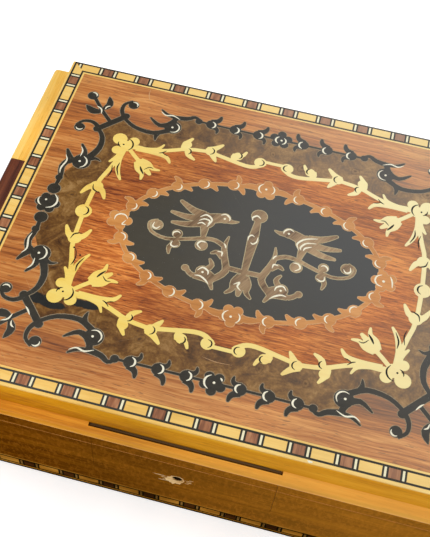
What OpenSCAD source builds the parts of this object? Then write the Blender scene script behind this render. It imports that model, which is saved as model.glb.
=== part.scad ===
// Inlaid wooden trick box: a hinged lid, a front shutter that hides the keyhole,
// a key tray hidden in the moulding on the left, and a box lock.
// Millimetres, +Z up, +X right, front towards -Y.
// The origin is the middle of the whole box's footprint, on the face it rests on.

/* [Overall size] */
// Width of the lid's flat top, between the outer edges of its stringing
lid_w = 240.8; // [230:0.1:255]
// Depth of the lid's flat top, from the front stringing to the back edge
lid_d = 195; // [188:0.1:205]
// Height of the whole box
total_h = 78; // [74:0.5:90]
// Height of the lid, from the parting line to its top
lid_h = 27.8; // [26:0.1:30]
// Thickness of the body's four walls
wall_t = 10; // [9:0.5:11]
// Thickness of every sheet of veneer
veneer_t = 0.8; // [0.6:0.1:0.9]
// Gap between the closed lid and the body
parting_gap = 0.3; // [0.2:0.05:0.5]

/* [Moulding] */
// Depth of the flat ledge below the lid's top
ledge_drop = 9; // [8.5:0.1:9.5]
// How far the foot of the cove stands out from the lid's top edge
cove_out = 2.4; // [2:0.1:2.4]
// How far the front ledge stands out from the lid's top edge
front_nose = 8.1; // [8.1:0.1:9]
// How far the side ledges stand out from the lid's top edge
side_nose = 11.7; // [11:0.1:12.5]
// How far every ledge overhangs the face below it
overhang = 3.9; // [3.6:0.1:3.9]
// Height of the strip that carries the ledge
ledge_h = 6.5; // [6:0.1:6.8]

/* [Inlaid banding] */
// Length of one repeat of the banding
band_pitch = 20; // [18:0.5:22]
// Width of the banding's blocks
block_w = 4.5; // [4.2:0.1:4.6]
// Width of the black lines beside the blocks
line_w = 1; // [0.8:0.1:1.1]
// Width of the light stringing
string_w = 1; // [0.8:0.1:1.2]
// Width of the wider stringing along the lid's front edge
front_string_w = 1.5; // [1.2:0.1:1.8]
// Shift of the front banding's pattern along the edge
front_shift = 1.7; // [-4:0.1:4]
// Shift of the left banding's pattern along the edge
left_shift = 2.7; // [-4:0.1:4]

/* [Shutter] */
// Width of the shutter that hides the keyhole
shutter_w = 83.4; // [70:0.1:90]
// Thickness of the shutter with its veneer
shutter_t = 1.7; // [1.5:0.1:1.7]
// Distance of the shutter's middle from the box's middle
shutter_x = -4.6; // [-8:0.1:8]
// Height of the shutter's lower edge
shutter_bottom = 25.5; // [22:0.5:26]
// How far the shutter slides up
shutter_travel = 14; // [13:0.5:14]

/* [Key tray] */
// Length of the moulding segment in front of the key tray
tray_l = 57.4; // [52:0.1:60]

/* [Lock] */
// Height of the keyhole's middle
keyhole_z = 35.2; // [34:0.1:36]
// Width of the lock case
lock_w = 36; // [32:0.5:40]
// How far the bolt rises
bolt_travel = 5; // [4:0.5:6]

/* [Hinges] */
// Distance of each hinge's middle from the box's middle
hinge_x = 70; // [50:1:85]
// Length of each hinge
hinge_l = 32; // [28:1:36]
// Radius of the hinge knuckles
knuckle_r = 2.2; // [2:0.1:2.4]
// Radius of the hinge pins
hinge_pin_r = 0.9; // [0.8:0.05:1]
// How far the pin stands behind the box's back
pin_out = 0.6; // [0.4:0.1:0.8]

/* [Hidden] */

// Clearances
glue = 0.04;
slide_gap = 0.15;
slot_end_gap = 0.6;

// Heights
felt_t = 0.8;
body_z = felt_t;
part_z = total_h - lid_h;
body_top = part_z - parting_gap / 2;
lid_bottom = part_z + parting_gap / 2;
ledge_z = total_h - ledge_drop;
ledge_bottom = ledge_z - ledge_h;
lid_skin = total_h - veneer_t;
board_t = 5.7;
board_z = lid_skin - board_t;
base_line_h = 1.6;
base_band_h = 2 * string_w + 2 * line_w + block_w;
base_top = body_z + base_line_h + base_band_h;
base_t = 5;
base_z = 3;
lining_t = 0.9;
lining_gap = 0.4;
felt_inset = 2;
felt_gap = 0.5;

// Plan: the middle of the banding is its zero
band_half = block_w / 2 + line_w;
edge_half = band_half + string_w;
half_w = lid_w / 2;
band_x = half_w - edge_half;
band_y = (lid_d - front_string_w) / 2 - band_half;
front_edge = -(band_y + band_half + front_string_w);
back_edge = band_y + band_half;
face_front = front_edge - front_nose + overhang;
face_side = half_w + side_nose - overhang;
core_front = face_front + veneer_t;
core_side = face_side - veneer_t;
core_back = back_edge - veneer_t;
nose_front = front_edge - front_nose;
nose_side = half_w + side_nose;
hinge_y = back_edge + pin_out;
hinge_back = hinge_y + knuckle_r;
centre_y = -(nose_front + hinge_back) / 2;

// Walls and rails
in_front = core_front + wall_t;
in_back = core_back - wall_t;
in_side = core_side - wall_t;
rail_front_t = 11.2;
rail_side_t = 19.9;
rail_front_in = core_front + rail_front_t;
rail_side_in = core_side - rail_side_t;
rebate_out = -(veneer_t + glue);
rail_top = board_z;

// Shutter and its recess
recess_y = front_edge - cove_out;
shutter_back = recess_y - (front_nose - overhang - cove_out - shutter_t) / 2 - 0.02;
shutter_front = shutter_back - shutter_t;
shutter_top = ledge_z - 0.6;
recess_w = shutter_w + 2 * slide_gap;
slot_w = shutter_w + 2 * slot_end_gap;
recess_floor = shutter_bottom - 0.3;
recess_back = recess_y + slide_gap;
runner_dx = 31;
runner_w = 10;
runner_lip = 2;
runner_web = 1.6;
runner_t = 4.2;
runner_h = 3.5;
runner_z = lid_bottom + 0.25;
groove_top = runner_z + runner_h + shutter_travel + 0.3;

// Keyhole, lock and key
key_r = 1.9;
key_slot_w = 2;
key_slot_h = 7;
lock_t = 6.6;
lock_wall = 1;
lock_h = 25;
selvedge_t = 1.5;
selvedge_w = 46;
selvedge_screw_dx = 20.6;
drill_pin_r = 0.8;
lock_back = in_front;
lock_front = lock_back - lock_t;
bolt_w = 15;
bolt_t = 3;
bolt_back_gap = 1.2;
bolt_y = lock_back - lock_wall - bolt_back_gap - bolt_t / 2;
bolt_top = body_top - 0.2;
bolt_h = 11;
strike_t = 1;
bolt_room = 0.3;
key_pivot_z = keyhole_z + 1.5;

// Hinges and screws
leaf_t = 1;
leaf_d = 9.5;
knuckle_gap = 0.2;
pin_run = 0.05;
barrel_room = 0.35;
screw_r = 1.1;
screw_head_r = 2;
screw_l = 7;
hinge_screw_dx = 10;
hinge_screw_inset = 3;
hinge_screw_y = hinge_y - leaf_d + hinge_screw_inset;
screw_slot_w = 0.5;
screw_slot_h = 0.4;
strike_l = 34;
strike_half_d = 3.2;
strike_screw_dx = 12.6;

// Tray
tray_wall = 1;
tray_rest = 1.4;
tray_inset = 3.4;
tray_room = 0.3;
tray_back = rail_side_in + tray_rest;
tray_h = ledge_h - 0.7;
tray_half = tray_l / 2 - tray_inset;
tray_y = 0;

// Size of the panel that the marquetry's outlines are drawn for
art_w = 240.8;
art_d = 195;

// Colours
walnut = [0.36, 0.21, 0.07];
pine = [0.80, 0.64, 0.42];
honey = [0.90, 0.62, 0.24];
honey_dark = [0.68, 0.45, 0.12];
tray_brown = [0.36, 0.18, 0.12];
boxwood = [0.96, 0.84, 0.52];
ebony = [0.20, 0.19, 0.17];
white_wood = [0.97, 0.95, 0.80];
brown_wood = [0.56, 0.34, 0.25];
orange_wood = [0.72, 0.42, 0.18];
burl = [0.44, 0.34, 0.24];
mahogany = [0.66, 0.30, 0.16];
pearwood = [0.74, 0.44, 0.22];
olive_wood = [0.47, 0.38, 0.27];
brass = [0.80, 0.63, 0.30];
steel = [0.55, 0.55, 0.56];
felt_green = [0.12, 0.26, 0.18];
paper_red = [0.45, 0.10, 0.10];

// ---------------------------------------------------------------- helpers

// A box from its low corner to its high corner
module block(low, high) {
    translate(low) cube(high - low);
}

// Moves from the lid's plan, with the banding's middle as its zero, to the box's
module plan() {
    translate([0, centre_y, 0]) children();
}

module mirrored_x() {
    for (m = [0, 1]) mirror([m, 0, 0]) children();
}

// A round rod along X
module rod_x(x0, x1, y, z, r) {
    translate([x0, y, z]) rotate([0, 90, 0]) cylinder(h = x1 - x0, r = r, $fn = 48);
}

// A moulding's section, drawn as (outwards, height), run along X on the front edge
module front_run(x0, x1) {
    translate([x0, front_edge, 0]) rotate([90, 0, 90]) linear_extrude(x1 - x0)
        mirror([1, 0]) children();
}

// The same, run along Y on the right edge
module right_run(y0, y1) {
    translate([half_w, y1, 0]) rotate([90, 0, 0]) linear_extrude(y1 - y0) children();
}

// ------------------------------------------------------ curves for inlay

// A point on the smooth curve through four points, between the middle two
function curve_at(a, b, c, d, s) =
    0.5 * (2 * b + (c - a) * s + (2 * a - 5 * b + 4 * c - d) * s * s
           + (3 * b - a - 3 * c + d) * s * s * s);

function smooth(p, n = 3) = concat(
    [for (i = [0:len(p) - 2], k = [0:n - 1])
        curve_at(p[max(i - 1, 0)], p[i], p[i + 1], p[min(i + 2, len(p) - 1)], k / n)],
    [p[len(p) - 1]]);

function run_dir(p, i) =
    let (d = p[min(i + 1, len(p) - 1)] - p[max(i - 1, 0)]) d / norm(d);

function beside(p, i, w) = let (t = run_dir(p, i)) p[i] + w * [-t[1], t[0]];

// Half the width of a blade at s: a taper from w0 to w1 with a belly between
function blade_half(s, w0, w1, belly) = (w0 + (w1 - w0) * s + belly * sin(180 * s)) / 2;

// A stem, leaf or petal along a smooth curve
module blade(pts, w0, w1, belly = 0) {
    p = smooth(pts);
    m = len(p) - 1;
    polygon(concat(
        [for (i = [0:m]) beside(p, i, blade_half(i / m, w0, w1, belly))],
        [for (i = [m:-1:0]) beside(p, i, -blade_half(i / m, w0, w1, belly))]));
}

module dot(c, r) {
    translate(c) circle(r, $fn = 16);
}

// Draws the four quarters of a pattern from one, or its two halves
module quarters() {
    for (mx = [0, 1], my = [0, 1]) mirror([mx, 0]) mirror([0, my]) children();
}

module halves() {
    for (mx = [0, 1]) mirror([mx, 0]) children();
}

// Fits the drawn pattern to the lid
module art() {
    scale([lid_w / art_w, lid_d / art_d]) children();
}

module rose(c, r, petals, turn = 0) {
    dot(c, r * 0.66);
    for (k = [0:petals - 1])
        dot(c + r * 0.62 * [cos(turn + 360 * k / petals), sin(turn + 360 * k / petals)],
            r * 0.40);
}

module tulip(c, turn, s = 1) {
    translate(c) rotate(turn) scale(s) {
        dot([0, 0], 2.4);
        dot([2.6, 0], 3.4);
        horn([[-1, 0], [4, 0], [8, 0]], 3.8, 1.8);
        for (m = [0, 1]) mirror([0, m])
            horn([[-1, 0.8], [2.4, 2.8], [6, 2.9], [8.4, 5]], 3.6, 1.1);
    }
}

// A leaf with a rounded end
module horn(pts, w0, w1) {
    blade(pts, w0, w1, 0.3);
    dot(pts[len(pts) - 1], w1 / 2);
}

// A bud on a stem, with a long horn outwards and a short one inwards
module bead(c) {
    dot(c, 3.2);
    horn([c + [0.6, 1.8], c + [-2.2, 3], c + [-3.4, 4.6], c + [-3.7, 6.4]], 3.6, 1.7);
    horn([c + [0.6, -1.8], c + [-2.4, -2], c + [-3.7, -3.4], c + [-3.6, -5.2]], 3.2, 1.3);
}

// ------------------------------------------------------- inlay outlines

// The ebony scroll that runs round the outer field
module scroll_2d() {
    quarters() {
        // Corner bar with a volute at each end
        blade([[93, 53], [87.2, 59.2], [81.4, 65.6]], 3.6, 3.6, 0);
        dot([93, 53], 2.2);
        dot([81.4, 65.8], 2.2);
        blade([[82, 64.6], [84.6, 69], [84.4, 74], [80.8, 77.2]], 2.8, 1.6);
        dot([79.8, 74.6], 2.9);
        blade([[92.2, 54], [96.6, 56.9], [101.4, 56.2], [104.2, 52.6]], 2.8, 1.6);
        dot([102, 51.6], 2.9);
        // Twig towards the corner, with a bud and two leaves
        blade([[87.4, 59], [94, 65.6], [101.4, 74.4]], 2.4, 2);
        dot([102.3, 75], 3);
        horn([[94.6, 65.2], [99.2, 64.6], [103.4, 67.4]], 1.6, 1);
        blade([[94.6, 65.2], [99.2, 64.6], [103.4, 67.4]], 1.6, 1, 3.2);
        horn([[94.4, 66.8], [92, 71.4], [93.6, 76.4]], 1.6, 1);
        blade([[94.4, 66.8], [92, 71.4], [93.6, 76.4]], 1.6, 1, 2.6);
        // Stem and flower on the way to the long run
        blade([[82, 64.4], [75, 59.8], [65, 58.6], [57.4, 62.6]], 2.2, 3.4);
        dot([56, 65.4], 4.6);
        horn([[57, 67.2], [63, 64.8], [68.8, 68.6]], 4, 1.1);
        horn([[62, 60], [62.8, 57], [62.4, 54]], 3.4, 0.9);
        horn([[57.4, 68], [56, 72.2], [60.4, 73], [64.6, 75.8]], 3.4, 1.1);
        blade([[58, 72], [50.4, 73.4], [46.6, 75.6], [43.6, 74]], 3.6, 1.8);
        dot([44, 73.4], 2.1);
        blade([[44, 73.4], [20, 73.2], [-2, 73.2]], 1.5, 1.5);
        for (x = [37, 24.4, 11.8]) bead([x, 73.2]);
        // Stem and flower on the way to the side run
        blade([[92.6, 53.6], [88.6, 48], [88, 40.4], [91, 33]], 2.2, 4);
        dot([93.6, 29.4], 4.8);
        horn([[95.4, 31], [93.8, 35.4], [96.8, 40.6]], 4.2, 1.3);
        horn([[97.4, 27.6], [100.2, 31], [102.8, 35.2]], 4.2, 1.5);
        horn([[90.4, 32], [87.4, 33.4], [84.6, 32.4]], 2.6, 0.7);
        blade([[99.4, 29.4], [101.8, 24], [100.4, 17], [101, 8]], 3.4, 1.2, 0.8);
        dot([100.8, 9.2], 3.4);
        dot([100.8, 16.6], 2);
    }
    for (my = [0, 1]) mirror([0, my]) rose([0, 73.4], 6, 5, 90);
    halves() rose([100.8, 0], 6.2, 6);
}

// The boxwood garland between the burl band and the inner field
module garland_2d() {
    quarters() {
        // Corner blossom and the tulip that points inwards
        dot([79.6, 49.8], 3.8);
        dot([72.2, 50], 2.9);
        dot([79, 42.2], 2.7);
        dot([75, 46], 3.6);
        blade([[73.4, 44.8], [69, 40.6], [65, 37.2]], 2.2, 2.2);
        tulip([65.2, 37.2], 222, 1.08);
        // Long run along the front and the back
        horn([[73, 46.4], [66, 46.6], [59.4, 48.6], [57, 52.2]], 3, 1.1);
        horn([[70, 46.2], [60, 46], [53.8, 44.6], [51.2, 41.6]], 4, 1.3);
        blade([[62, 46.6], [54, 49.2], [44.6, 53], [34, 54.6]], 2.4, 2.3);
        blade([[34, 54.6], [24, 52.6], [14, 50.8], [8.6, 51.6], [4.6, 55]], 2.3, 2.6);
        dot([7, 55], 3.2);
        blade([[5, 56], [2, 56], [-1, 56]], 2, 2);
        horn([[46, 52], [46.8, 55.8], [44, 60.6]], 4.2, 1.5);
        dot([45.8, 56], 2.6);
        horn([[44.4, 53.4], [43.4, 49.4], [40, 47.2]], 4, 1.4);
        dot([33, 55.2], 3);
        horn([[34.4, 55.6], [31.2, 57.6], [28, 60.8]], 4.2, 1.6);
        horn([[32.4, 54], [30.6, 51.4], [29.2, 49.2]], 3.6, 1.3);
        horn([[20.4, 52.4], [20.8, 56], [17, 56.4], [15.2, 59.6]], 3.2, 1.4);
        dot([18.8, 55.8], 2.6);
        // Short run along the sides
        horn([[76, 44], [77.4, 38], [80.2, 33.8]], 3.4, 1.3);
        horn([[76, 44], [76.2, 36], [74.4, 28.6], [71.8, 24]], 3.8, 1.3);
        blade([[76.4, 38], [79, 28], [81.6, 18], [82.4, -1]], 2.3, 2.2);
        dot([81.4, 16.4], 3.4);
        horn([[82, 17], [85.2, 14.6], [87.4, 10.6]], 4, 1.4);
        horn([[81, 16], [77.8, 14.4], [75.6, 10.2]], 4, 1.4);
    }
    halves() dot([82.6, 0], 4.1);
}

// Everything inside the scroll, and everything inside the garland
module burl_edge_2d() {
    quarter = smooth([[100.8, -0.1], [100.8, 9], [100.4, 18], [94, 30], [88.4, 40], [88.6, 48],
        [92, 53.4], [87.2, 59.2], [81.6, 64.6], [75, 59.8], [65, 58.8], [57.6, 63], [56, 70],
        [50.4, 73.4], [44, 73.6], [30, 73.2], [12, 73.2], [-0.1, 73.2]]);
    quarters() polygon(concat([[-0.1, -0.1]], quarter));
}

module garland_edge_2d() {
    quarter = smooth([[82.4, -0.1], [82, 9], [81.4, 17], [79, 28], [76.6, 37], [75, 46],
        [66, 46.4], [56, 48.2], [44.6, 53], [34, 54.6], [24, 52.6], [14, 50.8], [8, 52.2],
        [4.6, 55.6], [-0.1, 56]]);
    quarters() polygon(concat([[-0.1, -0.1]], quarter));
}

wreath_a = 63;
wreath_b = 38;
wreath_turns = [15, 32, 47, 61, 75];

function on_wreath(t) = [wreath_a * cos(t), wreath_b * sin(t)];

module oval_2d(a, b) {
    scale([a, b]) circle(1, $fn = 96);
}

// The wreath of buds and leaves on the medallion's edge
module wreath_2d() {
    difference() {
        oval_2d(wreath_a + 1.1, wreath_b + 1.1);
        oval_2d(wreath_a - 1.1, wreath_b - 1.1);
    }
    quarters() for (k = [0:len(wreath_turns) - 1]) {
        c = on_wreath(wreath_turns[k]);
        inward = -c / norm(c);
        across = [inward[1], -inward[0]];
        dot(c, 3.3);
        horn([c + 0.5 * across, c + 3 * across + 3 * inward,
              c + 3.4 * across + 6 * inward], 4.2, 1.5);
        if (k % 2 == 0)
            horn([c + 0.5 * across, c + 3 * across - 2.6 * inward,
                  c + 3.2 * across - 5.2 * inward], 3.8, 1.4);
    }
    for (my = [0, 1]) mirror([0, my]) {
        rose([0, wreath_b], 6, 5, 90);
        halves() blade([[4, wreath_b], [8, wreath_b + 0.6], [12, wreath_b - 0.6]], 4.2, 2);
    }
    halves() rose([wreath_a + 1.5, 0], 6.2, 5, 180);
}

module medallion_edge_2d() {
    oval_2d(wreath_a, wreath_b);
}

// The ornament in the medallion: a finial stem, curling arms, birds and leaf scrolls
module ornament_2d() {
    dot([0, 21], 4);
    blade([[0, 19], [0, 12], [0, 5]], 2.6, 5.4);
    blade([[0, 7], [0, -2], [0, -13]], 5.6, 2.8);
    tulip([0, -17], 270, 1.15);
    blade([[0, -12], [0, -15], [0, -18]], 2.8, 2.8);
    halves() {
        blade([[-1, -13.2], [4, -13.2], [9, -13]], 2.6, 2.6);
        // Branch up to its leaf tip, and down to the leaf scroll
        blade([[13, -21], [8.6, -15], [11, -7], [12.2, -1], [11.4, 5]], 3, 0.6, 1.4);
        horn([[11.4, -8], [14.6, -5.6], [17.2, -6.8]], 3.2, 1.2);
        blade([[12, -22], [16, -19.4], [19, -18.4]], 4, 4, 1);
        dot([18.6, -18.4], 3.4);
        blade([[18, -20], [23, -21.4], [27, -18.2]], 3, 2.2);
        dot([27, -18.4], 1.8);
        horn([[17.6, -17], [15.4, -13.6], [17, -10.6]], 3, 1.2);
        horn([[22, -21.4], [15, -22.6], [12.4, -26.4]], 3.4, 1.3);
        // Arm out to the end volute
        blade([[11.6, -2], [17, 0.8], [23, 0.4], [29, -1.6], [40, -4.6], [48, -2.4], [50.2, 2.6],
               [46.6, 5]], 2.4, 1.2);
        dot([46.4, 2], 3);
        dot([23, -3.8], 3);
        dot([35.6, -0.4], 2.5);
        dot([35.2, -6.4], 2.4);
        horn([[35.4, -6], [37.4, -9], [36.8, -12.4]], 2.8, 1.1);
        // Bird with three long feathers
        dot([24.6, 11.2], 4.8);
        blade([[23.4, 1], [23.8, 5], [24.4, 9]], 2, 5);
        blade([[22.4, 13], [18.4, 14.4], [15.8, 14.8]], 6, 5);
        dot([16, 15], 3);
        blade([[16, 14.4], [12, 13.8], [8.8, 14.8]], 4, 0.5);
        horn([[26, 14], [32, 15.6], [38.6, 19.4]], 5, 1.8);
        horn([[27, 11.6], [34, 10.8], [41.4, 11.8]], 4.2, 1.7);
        horn([[26, 9], [33, 6.4], [39.6, 5.8]], 4.2, 1.7);
    }
}

// ------------------------------------------------------ inlaid sheets

// One sheet of the lid's marquetry, cut to an outline
module sheet() {
    plan() translate([0, 0, lid_skin]) linear_extrude(veneer_t)
        offset(delta = -glue / 2) children();
}

module rect_2d(x, y_front, y_back) {
    translate([-x, -y_front]) square([2 * x, y_front + y_back]);
}

// Flat ring on the lid between two distances from the banding's middle line
module ring_2d(outer, inner) {
    difference() {
        rect_2d(band_x + outer, band_y + outer, band_y + outer);
        rect_2d(band_x + inner, band_y + inner, band_y + inner);
    }
}

// Pattern of one strip of banding, centred on the X axis
module strip_2d(from, to, run) {
    count = ceil(run / band_pitch) + 1;
    for (k = [-count:count])
        translate([k * band_pitch + from, -block_w / 2]) square([to - from, block_w]);
}

// Places along one repeat: half a brown block, a black line, a white bar, a black line
brown_half = 2.5;
cross_line_w = 0.85;
white_w = 1;
white_in = brown_half + cross_line_w;
white_out = white_in + white_w;
light_in = white_out + cross_line_w;

module band_marks(kind, run) {
    if (kind == "brown") strip_2d(-brown_half, brown_half, run);
    if (kind == "white") {
        strip_2d(white_in, white_out, run);
        strip_2d(-white_out, -white_in, run);
    }
    if (kind == "light") strip_2d(light_in, band_pitch - light_in, run);
}

// The area of one side's banding, mitred at the corners; far is the half length
module side_area_2d(far) {
    polygon([[-far - band_half, -band_half], [far + band_half, -band_half],
             [far - band_half, band_half], [-far + band_half, band_half]]);
}

// One kind of block all round the lid
module lid_marks_2d(kind) {
    translate([0, -band_y]) intersection() {
        side_area_2d(band_x);
        translate([front_shift, 0]) band_marks(kind, band_x);
    }
    translate([0, band_y]) rotate(180) intersection() {
        side_area_2d(band_x);
        band_marks(kind, band_x);
    }
    translate([-band_x, 0]) rotate(-90) intersection() {
        side_area_2d(band_y);
        translate([-left_shift, 0]) band_marks(kind, band_y);
    }
    translate([band_x, 0]) rotate(90) intersection() {
        side_area_2d(band_y);
        translate([left_shift, 0]) band_marks(kind, band_y);
    }
}

module all_lid_marks_2d() {
    lid_marks_2d("brown");
    lid_marks_2d("white");
    lid_marks_2d("light");
}

module edge_stringing() {
    color(boxwood) sheet() {
        difference() {
            rect_2d(half_w, -front_edge, back_edge);
            rect_2d(band_x + band_half, band_y + band_half, band_y + band_half);
        }
        ring_2d(-band_half, -edge_half);
    }
}

module band_lines() {
    color(ebony) sheet() difference() {
        ring_2d(band_half, -band_half);
        offset(delta = glue) all_lid_marks_2d();
    }
}

module band_light() { color(boxwood) sheet() lid_marks_2d("light"); }
module band_brown() { color(brown_wood) sheet() lid_marks_2d("brown"); }
module band_white() { color(white_wood) sheet() lid_marks_2d("white"); }

module field_outer() {
    color(orange_wood) sheet() difference() {
        rect_2d(band_x - edge_half, band_y - edge_half, band_y - edge_half);
        offset(delta = glue) art() burl_edge_2d();
        offset(delta = glue) art() scroll_2d();
    }
}

module scroll_ebony() { color(ebony) sheet() art() scroll_2d(); }

module field_burl() {
    color(burl) sheet() difference() {
        art() burl_edge_2d();
        offset(delta = glue) art() garland_edge_2d();
        offset(delta = glue) art() scroll_2d();
        offset(delta = glue) art() garland_2d();
    }
}

module garland_boxwood() { color(boxwood) sheet() art() garland_2d(); }

module field_mahogany() {
    color(mahogany) sheet() difference() {
        art() garland_edge_2d();
        offset(delta = glue) art() medallion_edge_2d();
        offset(delta = glue) art() garland_2d();
        offset(delta = glue) art() wreath_2d();
    }
}

module wreath() {
    color(pearwood) sheet() difference() {
        art() wreath_2d();
        offset(delta = glue) art() ornament_2d();
    }
}

module medallion_ground() {
    color(ebony) sheet() difference() {
        art() medallion_edge_2d();
        offset(delta = glue) art() wreath_2d();
        offset(delta = glue) art() ornament_2d();
    }
}

module medallion_ornament() { color(olive_wood) sheet() art() ornament_2d(); }

// ------------------------------------------------------------- body

// Keyhole through anything in front of the lock
module keyhole_cut(y0, y1) {
    translate([shutter_x, y1, key_pivot_z]) rotate([90, 0, 0])
        cylinder(h = y1 - y0, r = key_r, $fn = 40);
    block([shutter_x - key_slot_w / 2, y0, key_pivot_z - key_slot_h],
          [shutter_x + key_slot_w / 2, y1, key_pivot_z]);
}

// Recess in the front for the shutter, from its foot up to z1
module shutter_recess(z0, z1) {
    block([shutter_x - recess_w / 2, face_front - 1, z0],
          [shutter_x + recess_w / 2, recess_back, z1]);
}

// Room for the hinge barrels in the back edge of the wood
module barrel_cut() {
    mirrored_x() rod_x(hinge_x - hinge_l / 2 - 0.5, hinge_x + hinge_l / 2 + 0.5,
                       hinge_y, part_z, knuckle_r + barrel_room);
}

module leaf_cut(z0, z1) {
    mirrored_x() block([hinge_x - hinge_l / 2, hinge_y - leaf_d, z0],
                       [hinge_x + hinge_l / 2, hinge_y + 1, z1]);
}

// Shank holes for the hinge screws, from z0 to z1
module hinge_screw_cut(z0, z1) {
    mirrored_x() for (s = [-1, 1])
        translate([hinge_x + s * hinge_screw_dx, hinge_screw_y, z0])
            cylinder(h = z1 - z0, r = screw_r, $fn = 32);
}

module front_wall() {
    color(pine) plan() difference() {
        block([-core_side, core_front, body_z], [core_side, in_front, body_top]);
        shutter_recess(recess_floor, body_top + 1);
        keyhole_cut(recess_back - 1, in_front + 1);
        // Mortises for the lock case and its top plate
        block([shutter_x - lock_w / 2, lock_front, body_top - lock_h],
              [shutter_x + lock_w / 2, in_front + 1, body_top + 1]);
        block([shutter_x - selvedge_w / 2, lock_front - 1, body_top - selvedge_t],
              [shutter_x + selvedge_w / 2, in_front + 1, body_top + 1]);
        for (s = [-1, 1])
            translate([shutter_x + s * selvedge_screw_dx, lock_back - lock_t / 2,
                       body_top - selvedge_t - screw_l])
                cylinder(h = screw_l + 1, r = screw_r, $fn = 32);
    }
}

module back_wall() {
    color(pine) plan() difference() {
        block([-core_side, in_back, body_z], [core_side, core_back, body_top]);
        barrel_cut();
        leaf_cut(body_top - leaf_t, body_top + 1);
        hinge_screw_cut(body_top - leaf_t - screw_l, body_top + 1);
    }
}

module left_wall() {
    color(pine) plan()
        block([-core_side, in_front, body_z], [-in_side, in_back, body_top]);
}

module right_wall() {
    color(pine) plan()
        block([in_side, in_front, body_z], [core_side, in_back, body_top]);
}

module base_board() {
    color(pine) plan()
        block([-in_side, in_front, base_z], [in_side, in_back, base_z + base_t]);
}

module base_felt() {
    color(felt_green) plan() {
        block([-core_side + felt_inset, core_front + felt_inset, 0],
              [core_side - felt_inset, core_back - felt_inset, felt_t]);
        block([-in_side + felt_gap, in_front + felt_gap, felt_t],
              [in_side - felt_gap, in_back - felt_gap, base_z]);
    }
}

module floor_lining() {
    color(paper_red) plan()
        block([-in_side + lining_gap, in_front + lining_gap, base_z + base_t],
              [in_side - lining_gap, in_back - lining_gap, base_z + base_t + lining_t]);
}

// Walnut facing of the body, between the base banding and the parting line
module body_veneer_front() {
    color(walnut) plan() difference() {
        block([-face_side, face_front, base_top], [face_side, core_front, body_top]);
        shutter_recess(recess_floor, body_top + 1);
    }
}

module body_veneer_back() {
    color(walnut) plan() difference() {
        block([-face_side, core_back, base_top], [face_side, back_edge, body_top]);
        barrel_cut();
    }
}

module body_veneer_left() {
    color(walnut) plan()
        block([-face_side, core_front, base_top], [-core_side, core_back, body_top]);
}

module body_veneer_right() {
    color(walnut) plan()
        block([core_side, core_front, base_top], [face_side, core_back, body_top]);
}

// Lifts a flat pattern, drawn as (along, up), onto each of the four faces
module on_faces(t) {
    plan() {
        translate([0, core_front, 0]) rotate([90, 0, 0]) linear_extrude(t)
            offset(delta = -glue / 2) intersection() {
                translate([-face_side, 0]) square([2 * face_side, total_h]);
                children();
            }
        translate([0, core_back, 0]) rotate([90, 0, 180]) linear_extrude(t)
            offset(delta = -glue / 2) intersection() {
                translate([-face_side, 0]) square([2 * face_side, total_h]);
                children();
            }
        translate([0, (core_front + core_back) / 2, 0])
            for (s = [-1, 1]) translate([s * core_side, 0, 0]) rotate([90, 0, s * 90])
                linear_extrude(t) offset(delta = -glue / 2) intersection() {
                    translate([-(core_back - core_front) / 2, 0])
                        square([core_back - core_front, total_h]);
                    children();
                }
    }
}

base_band_z = body_z + base_line_h + base_band_h / 2;

module base_bar_2d(low, high) {
    translate([-face_side - 1, low]) square([2 * face_side + 2, high - low]);
}

module base_marks_2d(kind) {
    translate([0, base_band_z]) band_marks(kind, face_side);
}

module base_band_lines() {
    color(ebony) on_faces(veneer_t) {
        base_bar_2d(body_z, body_z + base_line_h);
        difference() {
            base_bar_2d(base_band_z - band_half, base_band_z + band_half);
            offset(delta = glue) {
                base_marks_2d("brown");
                base_marks_2d("white");
                base_marks_2d("light");
            }
        }
    }
}

module base_band_light() {
    color(boxwood) on_faces(veneer_t) {
        base_marks_2d("light");
        base_bar_2d(base_band_z - edge_half, base_band_z - band_half);
        base_bar_2d(base_band_z + band_half, base_band_z + edge_half);
    }
}

module base_band_brown() { color(brown_wood) on_faces(veneer_t) base_marks_2d("brown"); }
module base_band_white() { color(white_wood) on_faces(veneer_t) base_marks_2d("white"); }

// ------------------------------------------------------------- lock

module lock_case() {
    color(brass) plan() {
        difference() {
            block([shutter_x - lock_w / 2, lock_front, body_top - lock_h],
                  [shutter_x + lock_w / 2, lock_back, body_top - selvedge_t]);
            block([shutter_x - lock_w / 2 + lock_wall, lock_front + lock_wall,
                   body_top - lock_h + lock_wall],
                  [shutter_x + lock_w / 2 - lock_wall, lock_back - lock_wall, body_top]);
            keyhole_cut(lock_front - 1, lock_front + lock_wall + 0.5);
        }
        difference() {
            block([shutter_x - selvedge_w / 2, lock_front - 1, body_top - selvedge_t],
                  [shutter_x + selvedge_w / 2, lock_back, body_top]);
            bolt_hole(body_top - selvedge_t - 1, body_top + 1);
            for (s = [-1, 1]) selvedge_screw(s, 0);
        }
        // Drill pin that the hollow key turns on
        translate([shutter_x, lock_back - lock_wall, key_pivot_z])
            rotate([90, 0, 0]) cylinder(h = lock_t - 2.2 * lock_wall, r = drill_pin_r, $fn = 32);
    }
}

module bolt_hole(z0, z1) {
    block([shutter_x - bolt_w / 2 - bolt_room, bolt_y - bolt_t / 2 - bolt_room, z0],
          [shutter_x + bolt_w / 2 + bolt_room, bolt_y + bolt_t / 2 + bolt_room, z1]);
}

// The space of one selvedge screw, or the screw itself
module selvedge_screw(s, shrink) {
    translate([shutter_x + s * selvedge_screw_dx, lock_back - lock_t / 2, body_top])
        screw_down(shrink);
}

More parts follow.
